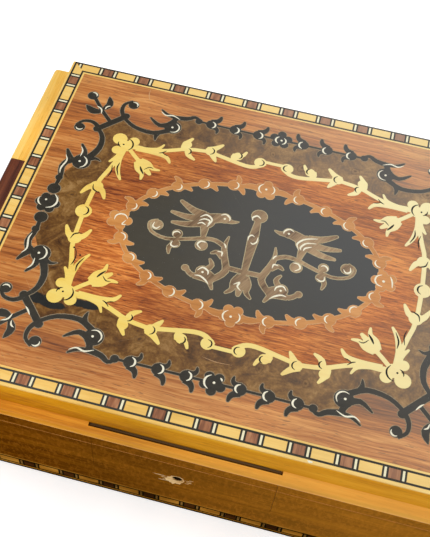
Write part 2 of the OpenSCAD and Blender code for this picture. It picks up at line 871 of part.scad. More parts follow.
// A countersunk screw with its head at the origin, pointing down
module screw_down(shrink) {
    translate([0, 0, -leaf_t])
        cylinder(h = leaf_t, r1 = screw_r, r2 = screw_head_r - shrink, $fn = 32);
    translate([0, 0, -leaf_t - screw_l + shrink])
        cylinder(h = screw_l - shrink, r = screw_r - shrink / 2, $fn = 32);
}

module slotted_screw() {
    difference() {
        screw_down(0.1);
        block([-screw_head_r, -screw_slot_w / 2, -screw_slot_h],
              [screw_head_r, screw_slot_w / 2, 1]);
    }
}

module lock_bolt() {
    color(steel) plan() {
        block([shutter_x - bolt_w / 2, bolt_y - bolt_t / 2, bolt_top - bolt_h],
              [shutter_x + bolt_w / 2, bolt_y + bolt_t / 2, bolt_top]);
    }
}

module body_screws() {
    color(brass) plan() {
        for (s = [-1, 1])
            translate([shutter_x + s * selvedge_screw_dx, lock_back - lock_t / 2, body_top])
                slotted_screw();
        mirrored_x() for (s = [-1, 1])
            translate([hinge_x + s * hinge_screw_dx, hinge_screw_y, body_top]) slotted_screw();
    }
}

// ------------------------------------------------------------ hinges

// Knuckles of one leaf, between x0 and x1
module knuckle(x0, x1, bore) {
    difference() {
        rod_x(x0, x1, hinge_y, part_z, knuckle_r);
        rod_x(x0 - 1, x1 + 1, hinge_y, part_z, bore);
    }
}

third = hinge_l / 3;

// One hinge's leaf: a plate on one side of the parting line, and its knuckles
module leaf(side, knuckles, bore) {
    z0 = side > 0 ? lid_bottom : body_top - leaf_t;
    for (k = knuckles)
        knuckle(hinge_x - hinge_l / 2 + k * third + (k > 0 ? knuckle_gap : 0),
                hinge_x - hinge_l / 2 + (k + 1) * third, bore);
    difference() {
        block([hinge_x - hinge_l / 2, hinge_y - leaf_d, z0],
              [hinge_x + hinge_l / 2, hinge_y, z0 + leaf_t]);
        rod_x(hinge_x - hinge_l, hinge_x + hinge_l, hinge_y, part_z, knuckle_r - 0.3);
        for (k = [0:2]) if (len(search(k, knuckles)) == 0)
            rod_x(hinge_x - hinge_l / 2 + k * third - 0.1,
                  hinge_x - hinge_l / 2 + (k + 1) * third + knuckle_gap + 0.1,
                  hinge_y, part_z, knuckle_r + barrel_room);
        for (s = [-1, 1])
            translate([hinge_x + s * hinge_screw_dx, hinge_screw_y,
                       side > 0 ? lid_bottom : body_top])
                mirror([0, 0, side > 0 ? 1 : 0]) screw_down(0);
    }
}

module hinge_body_leaves() {
    color(brass) plan() mirrored_x() leaf(-1, [0, 2], hinge_pin_r);
}

module hinge_lid_leaves() {
    color(brass) plan() mirrored_x() leaf(1, [1], hinge_pin_r + pin_run);
}

module hinge_pins() {
    color(steel) plan() mirrored_x()
        rod_x(hinge_x - hinge_l / 2, hinge_x + hinge_l / 2, hinge_y, part_z, hinge_pin_r);
}

// -------------------------------------------------------------- lid

module lid_board() {
    color(pine) plan()
        block([-half_w - rebate_out, front_edge - rebate_out, board_z],
              [half_w + rebate_out, core_back, lid_skin]);
}

// A rail's section: a full lower part, and an upper part set back behind the moulding
module rail_2d(outer, inner) {
    polygon([[inner, lid_bottom], [outer, lid_bottom], [outer, ledge_bottom],
             [rebate_out, ledge_bottom], [rebate_out, rail_top], [inner, rail_top]]);
}

module lid_rail_front() {
    color(pine) plan() difference() {
        front_run(-core_side, core_side)
            rail_2d(front_nose - overhang - veneer_t, front_edge - rail_front_in);
        shutter_recess(lid_bottom - 1, ledge_bottom + 1);
        // The upper part is only as wide as the board above it
        mirrored_x() block([half_w + rebate_out, front_edge - 20, ledge_bottom],
                           [core_side + 1, rail_front_in + 1, rail_top + 1]);
        runner_grooves();
        // Seat of the strike plate and the room that the bolt rises into
        block([shutter_x - strike_l / 2, bolt_y - strike_half_d, lid_bottom - 1],
              [shutter_x + strike_l / 2, bolt_y + strike_half_d, lid_bottom + strike_t]);
        bolt_hole(lid_bottom - 1, lid_bottom + bolt_travel + 1.5);
        for (s = [-1, 1]) strike_screw_cut(s);
    }
}

// T-shaped grooves that hold the shutter's runners, wider at the back
module runner_grooves() {
    for (s = [-1, 1]) translate([shutter_x + s * runner_dx, 0, 0]) {
        block([-runner_w / 2 - slide_gap, recess_back - slide_gap, lid_bottom - 1],
              [runner_w / 2 + slide_gap, recess_back + runner_web + slide_gap, groove_top]);
        block([-runner_w / 2 - runner_lip - slide_gap, recess_back + runner_web - slide_gap,
               lid_bottom - 1],
              [runner_w / 2 + runner_lip + slide_gap,
               recess_back + runner_t + slide_gap, groove_top]);
    }
}

module strike_screw_cut(s) {
    translate([shutter_x + s * strike_screw_dx, bolt_y, lid_bottom])
        cylinder(h = screw_l + leaf_t, r = screw_r, $fn = 32);
}

module lid_rail_back() {
    color(pine) plan() difference() {
        block([-core_side, in_back, lid_bottom], [core_side, core_back, rail_top]);
        mirrored_x() block([half_w + rebate_out, in_back - 1, ledge_bottom],
                           [core_side + 1, core_back + 1, rail_top + 1]);
        barrel_cut();
        leaf_cut(lid_bottom - 1, lid_bottom + leaf_t);
        hinge_screw_cut(lid_bottom - 1, lid_bottom + leaf_t + screw_l);
    }
}

module side_rail() {
    right_run(rail_front_in, in_back)
        rail_2d(core_side - half_w, rail_side_in - half_w);
}

module lid_rail_left() {
    color(pine) plan() difference() {
        mirror([1, 0, 0]) side_rail();
        // Pocket for the key tray
        block([-core_side - 1, tray_y - tray_half - tray_room, ledge_bottom - 0.02],
              [-tray_back + tray_room, tray_y + tray_half + tray_room, ledge_z]);
    }
}

module lid_rail_right() {
    color(pine) plan() side_rail();
}

module lid_veneer_front() {
    color(walnut) plan() difference() {
        block([-face_side, face_front, lid_bottom], [face_side, core_front, ledge_bottom]);
        shutter_recess(lid_bottom - 1, ledge_bottom + 1);
    }
}

module lid_veneer_back() {
    color(walnut) plan() difference() {
        union() {
            block([-face_side, core_back, lid_bottom], [face_side, back_edge, ledge_bottom]);
            block([-half_w - rebate_out, core_back, ledge_bottom],
                  [half_w + rebate_out, back_edge, lid_skin]);
        }
        barrel_cut();
    }
}

module lid_veneer_left() {
    color(walnut) plan()
        block([-face_side, core_front, lid_bottom], [-core_side, core_back, ledge_bottom]);
}

module lid_veneer_right() {
    color(walnut) plan()
        block([core_side, core_front, lid_bottom], [face_side, core_back, ledge_bottom]);
}

// --------------------------------------------------------- mouldings

// Section of the cove: a hollow curve from the lid's edge down to the ledge
cove_hollow = 0.9;
cove_chord = norm([cove_out, ledge_drop]);
cove_r = (cove_chord * cove_chord / 4 + cove_hollow * cove_hollow) / (2 * cove_hollow);
cove_mid = [cove_out / 2, ledge_z + ledge_drop / 2];
cove_normal = [ledge_drop, cove_out] / cove_chord;
cove_centre = cove_mid + (cove_r - cove_hollow) * cove_normal;

module cove_2d() {
    difference() {
        polygon([[-veneer_t, ledge_z + glue], [cove_out, ledge_z + glue],
                 [cove_out + 1, total_h], [glue, total_h], [glue, lid_skin], [-veneer_t, lid_skin]]);
        translate(cove_centre) circle(cove_r, $fn = 160);
    }
}

nose_r = 1.6;
ledge_corner_r = 2.5;

// Section of the ledge: a round nose over a hollow, from the rail out to nose
module ledge_2d(inner, nose) {
    face = nose - overhang;
    translate([inner, ledge_bottom]) square([face - inner, ledge_h]);
    translate([face - 0.01, ledge_z - 2 * nose_r]) square([overhang - nose_r + 0.01, 2 * nose_r]);
    translate([nose - nose_r, ledge_z - nose_r]) circle(nose_r, $fn = 48);
    difference() {
        translate([face - 0.01, ledge_bottom])
            square([overhang - nose_r, ledge_h - 2 * nose_r + 0.01]);
        translate([face + 0.5 + ledge_h - 2 * nose_r, ledge_bottom])
            circle(ledge_h - 2 * nose_r, $fn = 64);
    }
}

// Plan areas that mitre the front run against the side runs
module front_area(z0, z1) {
    translate([0, 0, z0]) linear_extrude(z1 - z0)
        polygon([[-half_w + 4, front_edge + 4], [-half_w - cove_out, front_edge - cove_out],
                 [-nose_side + 2 * glue, nose_front], [-nose_side + 2 * glue, nose_front - 1],
                 [nose_side - 2 * glue, nose_front - 1], [nose_side - 2 * glue, nose_front],
                 [half_w + cove_out, front_edge - cove_out], [half_w - 4, front_edge + 4]]);
}

module side_area(z0, z1) {
    translate([0, 0, z0]) linear_extrude(z1 - z0)
        polygon([[half_w - 4, front_edge + 4], [half_w + cove_out, front_edge - cove_out],
                 [nose_side, nose_front], [nose_side + 1, nose_front],
                 [nose_side + 1, back_edge + 1], [half_w - 4, back_edge + 1]]);
}

module cove_front() {
    color(honey_dark) plan() intersection() {
        front_run(-half_w - cove_out, half_w + cove_out) cove_2d();
        front_area(ledge_z, total_h + 1);
    }
}

module side_cove() {
    intersection() {
        right_run(front_edge - cove_out, back_edge) cove_2d();
        side_area(ledge_z, total_h + 1);
    }
}

module cove_right() { color(honey_dark) plan() side_cove(); }
module cove_left() { color(honey_dark) plan() mirror([1, 0, 0]) side_cove(); }

module ledge_front() {
    color(honey) plan() difference() {
        intersection() {
            front_run(-nose_side, nose_side) ledge_2d(-veneer_t, front_nose);
            front_area(ledge_bottom, ledge_z + 1);
        }
        // The slot that the shutter rises through
        block([shutter_x - slot_w / 2, face_front - 0.05, ledge_bottom - 1],
              [shutter_x + slot_w / 2, recess_back, ledge_z + 1]);
        runner_grooves();
    }
}

module side_ledge() {
    intersection() {
        right_run(nose_front, back_edge) ledge_2d(-veneer_t, side_nose);
        side_area(ledge_bottom, ledge_z + 1);
        // Rounded outer corner at the back
        translate([0, 0, ledge_bottom]) linear_extrude(ledge_h + 1) union() {
            translate([0, nose_front - 1])
                square([nose_side + 1, back_edge - ledge_corner_r - nose_front + 1]);
            translate([0, nose_front])
                square([nose_side - ledge_corner_r, back_edge - nose_front]);
            translate([nose_side - ledge_corner_r, back_edge - ledge_corner_r])
                circle(ledge_corner_r, $fn = 48);
        }
    }
}

module ledge_right() { color(honey) plan() side_ledge(); }

module ledge_left_front() {
    color(honey) plan() intersection() {
        mirror([1, 0, 0]) side_ledge();
        block([-nose_side - 1, nose_front - 1, 0], [0, tray_y - tray_l / 2 - slide_gap, total_h]);
    }
}

module ledge_left_rear() {
    color(honey) plan() intersection() {
        mirror([1, 0, 0]) side_ledge();
        block([-nose_side - 1, tray_y + tray_l / 2 + slide_gap, 0], [0, back_edge + 1, total_h]);
    }
}

module lid_lining() {
    color(paper_red) plan()
        block([-rail_side_in + lining_gap, rail_front_in + lining_gap, board_z - lining_t],
              [rail_side_in - lining_gap, in_back - lining_gap, board_z]);
}

module strike_plate() {
    color(brass) plan() difference() {
        block([shutter_x - strike_l / 2, bolt_y - strike_half_d, lid_bottom],
              [shutter_x + strike_l / 2, bolt_y + strike_half_d, lid_bottom + strike_t]);
        bolt_hole(lid_bottom - 1, lid_bottom + strike_t + 1);
        for (s = [-1, 1]) translate([shutter_x + s * strike_screw_dx, bolt_y, lid_bottom])
            mirror([0, 0, 1]) screw_down(0);
    }
}

module lid_screws() {
    color(brass) plan() {
        for (s = [-1, 1]) translate([shutter_x + s * strike_screw_dx, bolt_y, lid_bottom])
            mirror([0, 0, 1]) slotted_screw();
        mirrored_x() for (s = [-1, 1])
            translate([hinge_x + s * hinge_screw_dx, hinge_screw_y, lid_bottom])
                mirror([0, 0, 1]) slotted_screw();
    }
}

// ----------------------------------------------------------- shutter

// Ragged hole drilled through the shutter in front of the keyhole
hole_x = shutter_x - 2.3;
hole_r = 2.4;
hole_ragged = [1, 0.82, 1.1, 0.9, 1.06, 0.78, 1, 1.12, 0.86, 1.04, 0.8, 0.94, 1.08, 0.88];

module ragged_hole(grow) {
    count = len(hole_ragged);
    translate([hole_x, 0, keyhole_z]) rotate([90, 0, 0]) linear_extrude(400, center = true)
        polygon([for (k = [0:count - 1])
            (hole_r * hole_ragged[k] + grow) * [cos(360 * k / count), sin(360 * k / count)]]);
}

module shutter_board() {
    color(walnut) plan() difference() {
        block([shutter_x - shutter_w / 2, shutter_front + veneer_t, shutter_bottom],
              [shutter_x + shutter_w / 2, shutter_back, shutter_top]);
        ragged_hole(0);
    }
}

module shutter_veneer() {
    color(walnut) plan() difference() {
        block([shutter_x - shutter_w / 2, shutter_front, shutter_bottom],
              [shutter_x + shutter_w / 2, shutter_front + veneer_t, shutter_top]);
        ragged_hole(0.5);
        // Scored line that carries the parting line across the shutter
        block([shutter_x - shutter_w, shutter_front - 1, part_z - parting_gap / 2],
              [shutter_x + shutter_w, shutter_front + 0.3, part_z + parting_gap / 2]);
    }
}

// T-shaped runners behind the shutter, captive in the lid's front rail
module shutter_runners() {
    color(pine) plan() for (s = [-1, 1]) translate([shutter_x + s * runner_dx, 0, 0]) {
        block([-runner_w / 2, shutter_back, runner_z],
              [runner_w / 2, recess_back + runner_web + slide_gap, runner_z + runner_h]);
        block([-runner_w / 2 - runner_lip, recess_back + runner_web + slide_gap, runner_z],
              [runner_w / 2 + runner_lip, recess_back + runner_t, runner_z + runner_h]);
    }
}

// ---------------------------------------------------------- key tray

module tray_front() {
    color(tray_brown) plan() intersection() {
        mirror([1, 0, 0]) right_run(nose_front, back_edge) ledge_2d(cove_out - tray_tuck, side_nose);
        block([-nose_side - 1, tray_y - tray_l / 2 + slide_gap, ledge_bottom + tray_rise],
              [0, tray_y + tray_l / 2 - slide_gap, ledge_z]);
    }
}

tray_rise = 0.12;
tray_tuck = 0.6;
tray_x0 = -(half_w + cove_out - tray_tuck);
tray_x1 = -tray_back;
tray_z0 = ledge_bottom + 0.25;

module tray_box() {
    color(pine) plan() difference() {
        block([tray_x0, tray_y - tray_half, tray_z0],
              [tray_x1, tray_y + tray_half, tray_z0 + tray_h]);
        block([tray_x0 + tray_wall, tray_y - tray_half + tray_wall, tray_z0 + tray_wall],
              [tray_x1 - tray_wall, tray_y + tray_half - tray_wall, total_h]);
    }
}

// Hollow-barrelled key with a ring bow and a plain bit
key_z = tray_z0 + tray_wall;
key_x = (tray_x0 + tray_x1) / 2;
key_shank_r = 1.5;
key_tip = 18;
key_shank_l = 30;
key_bore_l = 8;
key_bit = [5.2, 5, 1.4];
key_bit_back = 1;
bow_r = 3.6;
bow_wire_r = 1.1;

module key() {
    color(brass) plan() translate([key_x, tray_y, key_z + key_shank_r]) {
        difference() {
            translate([0, key_tip, 0]) rotate([90, 0, 0])
                cylinder(h = key_shank_l, r = key_shank_r, $fn = 32);
            translate([0, key_tip + 1, 0]) rotate([90, 0, 0])
                cylinder(h = key_bore_l + 1, r = drill_pin_r + 0.05, $fn = 32);
        }
        block([key_shank_r / 2, key_tip - key_bit_back - key_bit[1], -key_bit[2] / 2],
              [key_bit[0], key_tip - key_bit_back, key_bit[2] / 2]);
        translate([0, key_tip - key_shank_l - bow_r + 0.2, 0])
            rotate_extrude($fn = 64) translate([bow_r, 0]) circle(bow_wire_r, $fn = 24);
    }
}

// ---------------------------------------------------------- drawing

front_wall();
back_wall();
left_wall();
right_wall();
base_board();
base_felt();
floor_lining();
body_veneer_front();
body_veneer_back();
body_veneer_left();
body_veneer_right();
base_band_lines();
base_band_light();
base_band_brown();
base_band_white();
lock_case();
body_screws();
hinge_body_leaves();
hinge_pins();
lid_board();
lid_rail_front();
lid_rail_back();
lid_rail_left();
lid_rail_right();
lid_veneer_front();
lid_veneer_back();
lid_veneer_left();
lid_veneer_right();
cove_front();
cove_left();
cove_right();
ledge_front();
ledge_left_front();
ledge_left_rear();
ledge_right();
lid_lining();
strike_plate();
lid_screws();
hinge_lid_leaves();
edge_stringing();
band_lines();
band_light();
band_brown();
band_white();
field_outer();
scroll_ebony();
field_burl();
garland_boxwood();
field_mahogany();
wreath();
medallion_ground();
medallion_ornament();
shutter_board();
shutter_veneer();
shutter_runners();
tray_front();
tray_box();
key();
lock_bolt();
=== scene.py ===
import math
import random

import bmesh
import bpy
from mathutils import Matrix, Vector


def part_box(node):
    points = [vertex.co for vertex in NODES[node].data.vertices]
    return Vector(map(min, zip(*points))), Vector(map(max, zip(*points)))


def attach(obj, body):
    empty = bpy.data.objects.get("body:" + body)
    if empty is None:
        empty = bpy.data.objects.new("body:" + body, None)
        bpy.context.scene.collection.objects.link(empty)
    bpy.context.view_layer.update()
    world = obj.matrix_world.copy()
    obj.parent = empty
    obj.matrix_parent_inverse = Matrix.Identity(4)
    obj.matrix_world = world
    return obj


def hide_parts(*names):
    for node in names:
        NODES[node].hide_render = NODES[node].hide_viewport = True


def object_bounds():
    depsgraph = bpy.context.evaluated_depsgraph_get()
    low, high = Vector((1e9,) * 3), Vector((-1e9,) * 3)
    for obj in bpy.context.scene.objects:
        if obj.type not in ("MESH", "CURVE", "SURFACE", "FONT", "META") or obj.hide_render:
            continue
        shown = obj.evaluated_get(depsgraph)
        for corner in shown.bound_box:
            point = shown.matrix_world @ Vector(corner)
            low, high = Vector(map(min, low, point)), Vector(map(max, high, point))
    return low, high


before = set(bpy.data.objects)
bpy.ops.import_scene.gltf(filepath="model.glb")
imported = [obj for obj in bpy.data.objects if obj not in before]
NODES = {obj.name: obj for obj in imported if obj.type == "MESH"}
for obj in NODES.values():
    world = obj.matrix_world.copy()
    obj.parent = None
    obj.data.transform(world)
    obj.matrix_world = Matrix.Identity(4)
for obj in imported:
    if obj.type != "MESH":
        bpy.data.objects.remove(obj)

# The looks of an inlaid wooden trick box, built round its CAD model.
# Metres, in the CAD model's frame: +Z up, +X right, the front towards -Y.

CAD_LOW, CAD_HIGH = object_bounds()
MM = 0.001

# ---------------------------------------------------------------- places

BAND_LOW, BAND_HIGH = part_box("band_lines")
LID_TOP = BAND_HIGH.z
PLAN_X = (BAND_LOW.x + BAND_HIGH.x) / 2
PLAN_Y = (BAND_LOW.y + BAND_HIGH.y) / 2
BAND_WIDTH = 238.76 * MM     # across the banding on the lid as designed
PLAN_SCALE = (BAND_HIGH.x - BAND_LOW.x) / BAND_WIDTH
FRONT_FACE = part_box("lid_veneer_front")[0].y
PARTING_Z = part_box("lid_veneer_front")[0].z
SHUTTER_LOW, SHUTTER_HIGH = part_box("shutter_veneer")
HOLE_X, HOLE_Z, HOLE_R = -6.9 * MM, 35.2 * MM, 2.9 * MM     # where the shutter was broken through


def add(name, data):
    """A new object in the scene."""
    made = bpy.data.objects.new(name, data)
    bpy.context.scene.collection.objects.link(made)
    return made


def closed(mesh, name, material):
    """A new object from a finished bmesh of closed solids."""
    bmesh.ops.recalc_face_normals(mesh, faces=mesh.faces)
    data = bpy.data.meshes.new(name)
    mesh.to_mesh(data)
    mesh.free()
    data.materials.append(material)
    return add(name, data)


def plan(x, y, z=0.0):
    """A point on the lid from its place in millimetres, measured from the middle of the banding."""
    return Vector((PLAN_X + x * MM * PLAN_SCALE, PLAN_Y + y * MM * PLAN_SCALE, LID_TOP + z * MM))


# ---------------------------------------------------------------- camera

CAMERA_TARGET = plan(-13.5, -15.0)
CAMERA_DISTANCE = 429.1 * MM
CAMERA_AZIMUTH = math.radians(8.91)
CAMERA_ELEVATION = math.radians(55.2)
CAMERA_ROLL = math.radians(6.06)
CAMERA_LENS = 61.7
SENSOR = 36.0


def towards(a, e):
    """The direction out of the box at an azimuth from the front and an elevation."""
    return Vector((math.sin(a) * math.cos(e), -math.cos(a) * math.cos(e), math.sin(e)))


def make_camera():
    a, r = CAMERA_AZIMUTH, CAMERA_ROLL
    back = towards(a, CAMERA_ELEVATION)
    level = Vector((math.cos(a), math.sin(a), 0.0))
    raised = back.cross(level)
    right = level * math.cos(r) + raised * math.sin(r)
    up = back.cross(right)
    data = bpy.data.cameras.new("camera")
    data.lens, data.sensor_width, data.sensor_fit = CAMERA_LENS, SENSOR, "AUTO"
    data.clip_start, data.clip_end = 0.01, 20.0
    camera = add("camera", data)
    facing = Matrix((right, up, back)).transposed().to_4x4()
    camera.matrix_world = Matrix.Translation(CAMERA_TARGET + back * CAMERA_DISTANCE) @ facing
    bpy.context.scene.camera = camera


# ------------------------------------------------------------- materials

def paint(red, green, blue):
    """A colour given on the usual 0 to 255 scale, as the linear colour that a shader takes."""
    def linear(value):
        c = value / 255.0
        return c / 12.92 if c <= 0.04045 else ((c + 0.055) / 1.055) ** 2.4
    return (linear(red), linear(green), linear(blue), 1.0)


def times(colour, k):
    return (colour[0] * k, colour[1] * k, colour[2] * k, 1.0)


class Shader:
    """One procedural material, built from left to right."""

    def __init__(self, name):
        self.material = bpy.data.materials.new(name)
        self.material.use_nodes = True
        self.tree = self.material.node_tree
        self.tree.nodes.clear()
        self.output = self.tree.nodes.new("ShaderNodeOutputMaterial")
        self.bsdf = self.tree.nodes.new("ShaderNodeBsdfPrincipled")
        self.tree.links.new(self.bsdf.outputs[0], self.output.inputs["Surface"])
        self.place = self.tree.nodes.new("ShaderNodeTexCoord").outputs["Object"]

    def node(self, kind, settings, inputs):
        """A node with its settings, whose inputs are numbers, colours or other nodes' outputs."""
        made = self.tree.nodes.new(kind)
        for key, value in settings.items():
            setattr(made, key, value)
        for key, value in inputs.items():
            if isinstance(value, bpy.types.NodeSocket):
                self.tree.links.new(value, made.inputs[key])
            else:
                made.inputs[key].default_value = value
        return made

    def set(self, socket, value):
        if isinstance(value, bpy.types.NodeSocket):
            self.tree.links.new(value, self.bsdf.inputs[socket])
        else:
            self.bsdf.inputs[socket].default_value = value

    def turned(self, angle):
        """The place, turned about Z so that its X runs along the grain."""
        return self.node("ShaderNodeMapping", {}, {
            "Vector": self.place, "Rotation": (0.0, 0.0, -angle)}).outputs[0]

    def stretched(self, vector, scale):
        return self.node("ShaderNodeMapping", {}, {"Vector": vector, "Scale": scale}).outputs[0]

    def noise(self, vector, scale=1.0, detail=3.0, rough=0.55, distortion=0.0):
        return self.node("ShaderNodeTexNoise", {}, {
            "Vector": vector, "Scale": scale, "Detail": detail, "Roughness": rough,
            "Distortion": distortion}).outputs[0]

    def parts(self):
        """X, Y and Z of the place."""
        return self.node("ShaderNodeSeparateXYZ", {}, {0: self.place}).outputs

    def math(self, operation, a, b=0.0, c=0.0):
        return self.node("ShaderNodeMath", {"operation": operation}, {0: a, 1: b, 2: c}).outputs[0]

    def length(self, u, v):
        """How far the point (u, v) lies from zero."""
        squares = self.math("MULTIPLY", u, u), self.math("MULTIPLY", v, v)
        return self.math("SQRT", self.math("ADD", *squares))

    def between(self, value, low, high, to_low=0.0, to_high=1.0):
        """A smooth step from one value to another while the input goes from low to high."""
        return self.node("ShaderNodeMapRange", {"interpolation_type": "SMOOTHSTEP"}, {
            "Value": value, "From Min": low, "From Max": high,
            "To Min": to_low, "To Max": to_high}).outputs[0]

    def mix(self, share, a, b, blend="MIX"):
        made = self.node("ShaderNodeMix", {"data_type": "RGBA", "blend_type": blend}, {0: share})
        for index, value in ((6, a), (7, b)):
            if isinstance(value, bpy.types.NodeSocket):
                self.tree.links.new(value, made.inputs[index])
            else:
                made.inputs[index].default_value = value
        return made.outputs[2]

    def ramp(self, value, stops):
        """A colour between those of the stops, which are pairs of position and colour."""
        made = self.node("ShaderNodeValToRGB", {}, {0: value})
        elements = made.color_ramp.elements
        while len(elements) < len(stops):
            elements.new(0.5)
        for element, (position, colour) in zip(elements, stops):
            element.position = position
            element.color = colour
        return made.outputs[0]

    def moved(self, vector, dx=0.0, dy=0.0, dz=0.0):
        """The vector with something added to each of its parts."""
        offset = self.node("ShaderNodeCombineXYZ", {}, {0: dx, 1: dy, 2: dz}).outputs[0]
        return self.node("ShaderNodeVectorMath", {"operation": "ADD"},
                         {0: vector, 1: offset}).outputs[0]

    def bump(self, height, strength, distance):
        return self.node("ShaderNodeBump", {}, {
            "Height": height, "Strength": strength, "Distance": distance}).outputs[0]

    def near(self, x, y, radius_x, radius_y, ragged=0.0):
        """1 inside an oval on the lid, 0 outside it, with a ragged edge; sizes in millimetres."""
        centre = plan(x, y)
        part = self.parts()
        u = self.math("MULTIPLY", self.math("SUBTRACT", part[0], centre.x), 1 / (radius_x * MM))
        v = self.math("MULTIPLY", self.math("SUBTRACT", part[1], centre.y), 1 / (radius_y * MM))
        far = self.length(u, v)
        edge = self.math("MULTIPLY_ADD", self.noise(self.place, 260.0, 3.0), ragged, far)
        return self.between(edge, 0.86 + ragged / 2, 1.1 + ragged / 2, 1.0, 0.0)


def painted_light_gradient(tint, most, low=-0.12, high=0.16, across=0.6, blend="MIX"):
    """Painted light: the colour moves towards the tint between two places along X, standing in for
    the light and lacquer reflection that change across the box; it leans towards Y by the share
    across.
    """
    def finish(s, colour):
        part = s.parts()
        along = s.math("MULTIPLY_ADD", part[1], across, part[0])
        blur = s.math("MULTIPLY_ADD", s.noise(s.place, 12.0, 2.0), 0.05, along)
        share = s.between(blur, low + 0.025, high + 0.025, 0.0, most)
        return s.mix(share, colour, tint, blend)
    return finish


def added_light_gradient(red, green, blue, low=-0.12, high=0.12, across=0.4):
    """Painted light for a strongly figured wood: light added between two places along X, which
    lightens the grain without flattening it.
    """
    return painted_light_gradient((red, green, blue, 1.0), 1.0, low, high, across, "ADD")


def both(first, second):
    """Two finishes, one over the other."""
    return lambda s, colour: second(s, first(s, colour))


def lacquer(shader, roughness, coat, coat_roughness, level=0.5):
    """Finish shared by the polished woods."""
    shader.set("Roughness", roughness)
    shader.set("Specular IOR Level", level)
    shader.set("Coat Weight", coat)
    shader.set("Coat Roughness", coat_roughness)
    shader.set("Coat IOR", 1.5)


def wood(name, dark, mid, light, turn=0.0, figure=(9.0, 85.0), lines=(34.0, 620.0), wave=0.0,
         contrast=1.0, pores=0.35, pore_size=(150.0, 1900.0), weights=(0.5, 0.35, 0.15),
         drift=0.12, coat=0.5, level=0.35, rough=(0.28, 0.46), bump=0.25, finish=None):
    """Straight-grained wood: slow figure, fine lines, fibre and pores, along X turned by turn."""
    s = Shader(name)
    grain = s.turned(turn)
    if wave:
        sway = s.math("SUBTRACT", s.noise(s.stretched(grain, (26.0, 60.0, 60.0)), 1.0, 2.0), 0.5)
        grain = s.moved(grain, dy=s.math("MULTIPLY", sway, wave))
    slow = s.noise(s.stretched(grain, (figure[0], figure[1], figure[1])), 1.0, 3.0, 0.5, 0.3)
    fine = s.noise(s.stretched(grain, (lines[0], lines[1], lines[1])), 1.0, 4.0, 0.68)
    fibre = s.noise(s.stretched(grain, (95.0, 2300.0, 2300.0)), 1.0, 2.0, 0.6)
    tone = s.math("MULTIPLY_ADD", slow, weights[0], s.math("MULTIPLY", fine, weights[1]))
    tone = s.math("MULTIPLY_ADD", fibre, weights[2], tone)
    tone = s.math("MULTIPLY_ADD", s.math("SUBTRACT", tone, 0.5), 2.4 * contrast, 0.5)
    colour = s.ramp(tone, [(0.08, dark), (0.48, mid), (0.92, light)])
    pore = s.noise(s.stretched(grain, (pore_size[0], pore_size[1], pore_size[1])), 1.0, 2.0, 0.5)
    pore = s.between(pore, 0.60, 0.70)
    colour = s.mix(s.math("MULTIPLY", pore, pores), colour, times(dark, 0.55))
    patch = s.between(s.noise(s.place, 16.0, 2.0), 0.3, 0.7, 1.0 - drift, 1.0 + drift)
    grey = s.node("ShaderNodeCombineColor", {}, {0: patch, 1: patch, 2: patch}).outputs[0]
    colour = s.mix(1.0, colour, grey, "MULTIPLY")
    if finish:
        colour = finish(s, colour)
    s.set("Base Color", colour)
    lacquer(s, s.between(fine, 0.3, 0.7, rough[0], rough[1]), coat, 0.2, level)
    height = s.math("SUBTRACT", fine, s.math("MULTIPLY", pore, 0.6))
    s.set("Normal", s.bump(height, bump, 0.00006))
    return s.material


def scratched(s, colour, strength=0.35, tint=(0.5, 0.5, 0.47, 1.0)):
    """Hairline scratches in the lacquer, in two directions."""
    for angle, reach in ((0.5, 3000.0), (-0.9, 2600.0)):
        line = s.noise(s.stretched(s.turned(angle), (22.0, reach, reach)), 1.0, 1.0, 0.4)
        broken = s.between(s.noise(s.place, 55.0, 2.0), 0.52, 0.68)
        share = s.math("MULTIPLY", s.between(line, 0.69, 0.76, 0.0, strength), broken)
        colour = s.mix(share, colour, tint)
    return colour


def burl_material():
    """Walnut burl: mottled, with small knots ringed by darker wood, and an old black repair."""
    s = Shader("walnut_burl")
    curl = s.noise(s.place, 40.0, 3.0, 0.6, 1.4)
    cloud = s.noise(s.place, 95.0, 5.0, 0.62, 2.2)
    speck = s.noise(s.place, 900.0, 3.0, 0.7)
    tone = s.math("MULTIPLY_ADD", cloud, 0.5, s.math("MULTIPLY", curl, 0.35))
    tone = s.math("MULTIPLY_ADD", speck, 0.22, tone)
    colour = s.ramp(s.math("MULTIPLY_ADD", s.math("SUBTRACT", tone, 0.53), 2.7, 0.5), [
        (0.1, paint(60, 30, 2)), (0.42, paint(106, 66, 14)), (0.62, paint(134, 92, 34)),
        (0.95, paint(174, 132, 76))])
    # Painted reflection: a grey haze added towards the right.
    colour = added_light_gradient(0.095, 0.092, 0.072, -0.12, 0.12, 0.6)(s, colour)
    sway = s.math("MULTIPLY", s.math("SUBTRACT", s.noise(s.place, 120.0, 2.0), 0.5), 0.006)
    warped = s.moved(s.place, dx=sway, dy=sway)
    flat = s.stretched(warped, (38.0, 38.0, 0.0))
    knot = s.node("ShaderNodeTexVoronoi", {"voronoi_dimensions": "2D"}, {
        "Vector": flat, "Scale": 1.0, "Randomness": 1.0}).outputs["Distance"]
    rings = s.math("SINE", s.math("MULTIPLY", knot, 105.0))
    rings = s.between(rings, 0.1, 0.9)
    nearby = s.between(knot, 0.05, 0.16, 0.34, 0.0)
    colour = s.mix(s.math("MULTIPLY", rings, nearby), colour, paint(60, 38, 20))
    eye = s.between(knot, 0.012, 0.035, 0.4, 0.0)
    colour = s.mix(eye, colour, paint(58, 36, 22))
    for repair in ((-88.0, -52.6, 7.4, 2.9), (-79.0, -54.6, 6.0, 2.2), (-65.0, -50.6, 7.6, 2.0)):
        colour = s.mix(s.near(*repair, 0.9), colour, paint(26, 26, 22))
    colour = scratched(s, colour, 0.3, paint(176, 160, 130))
    s.set("Base Color", colour)
    lacquer(s, s.between(cloud, 0.3, 0.7, 0.28, 0.42), 0.4, 0.2, 0.3)
    s.set("Normal", s.bump(speck, 0.12, 0.00006))
    return s.material


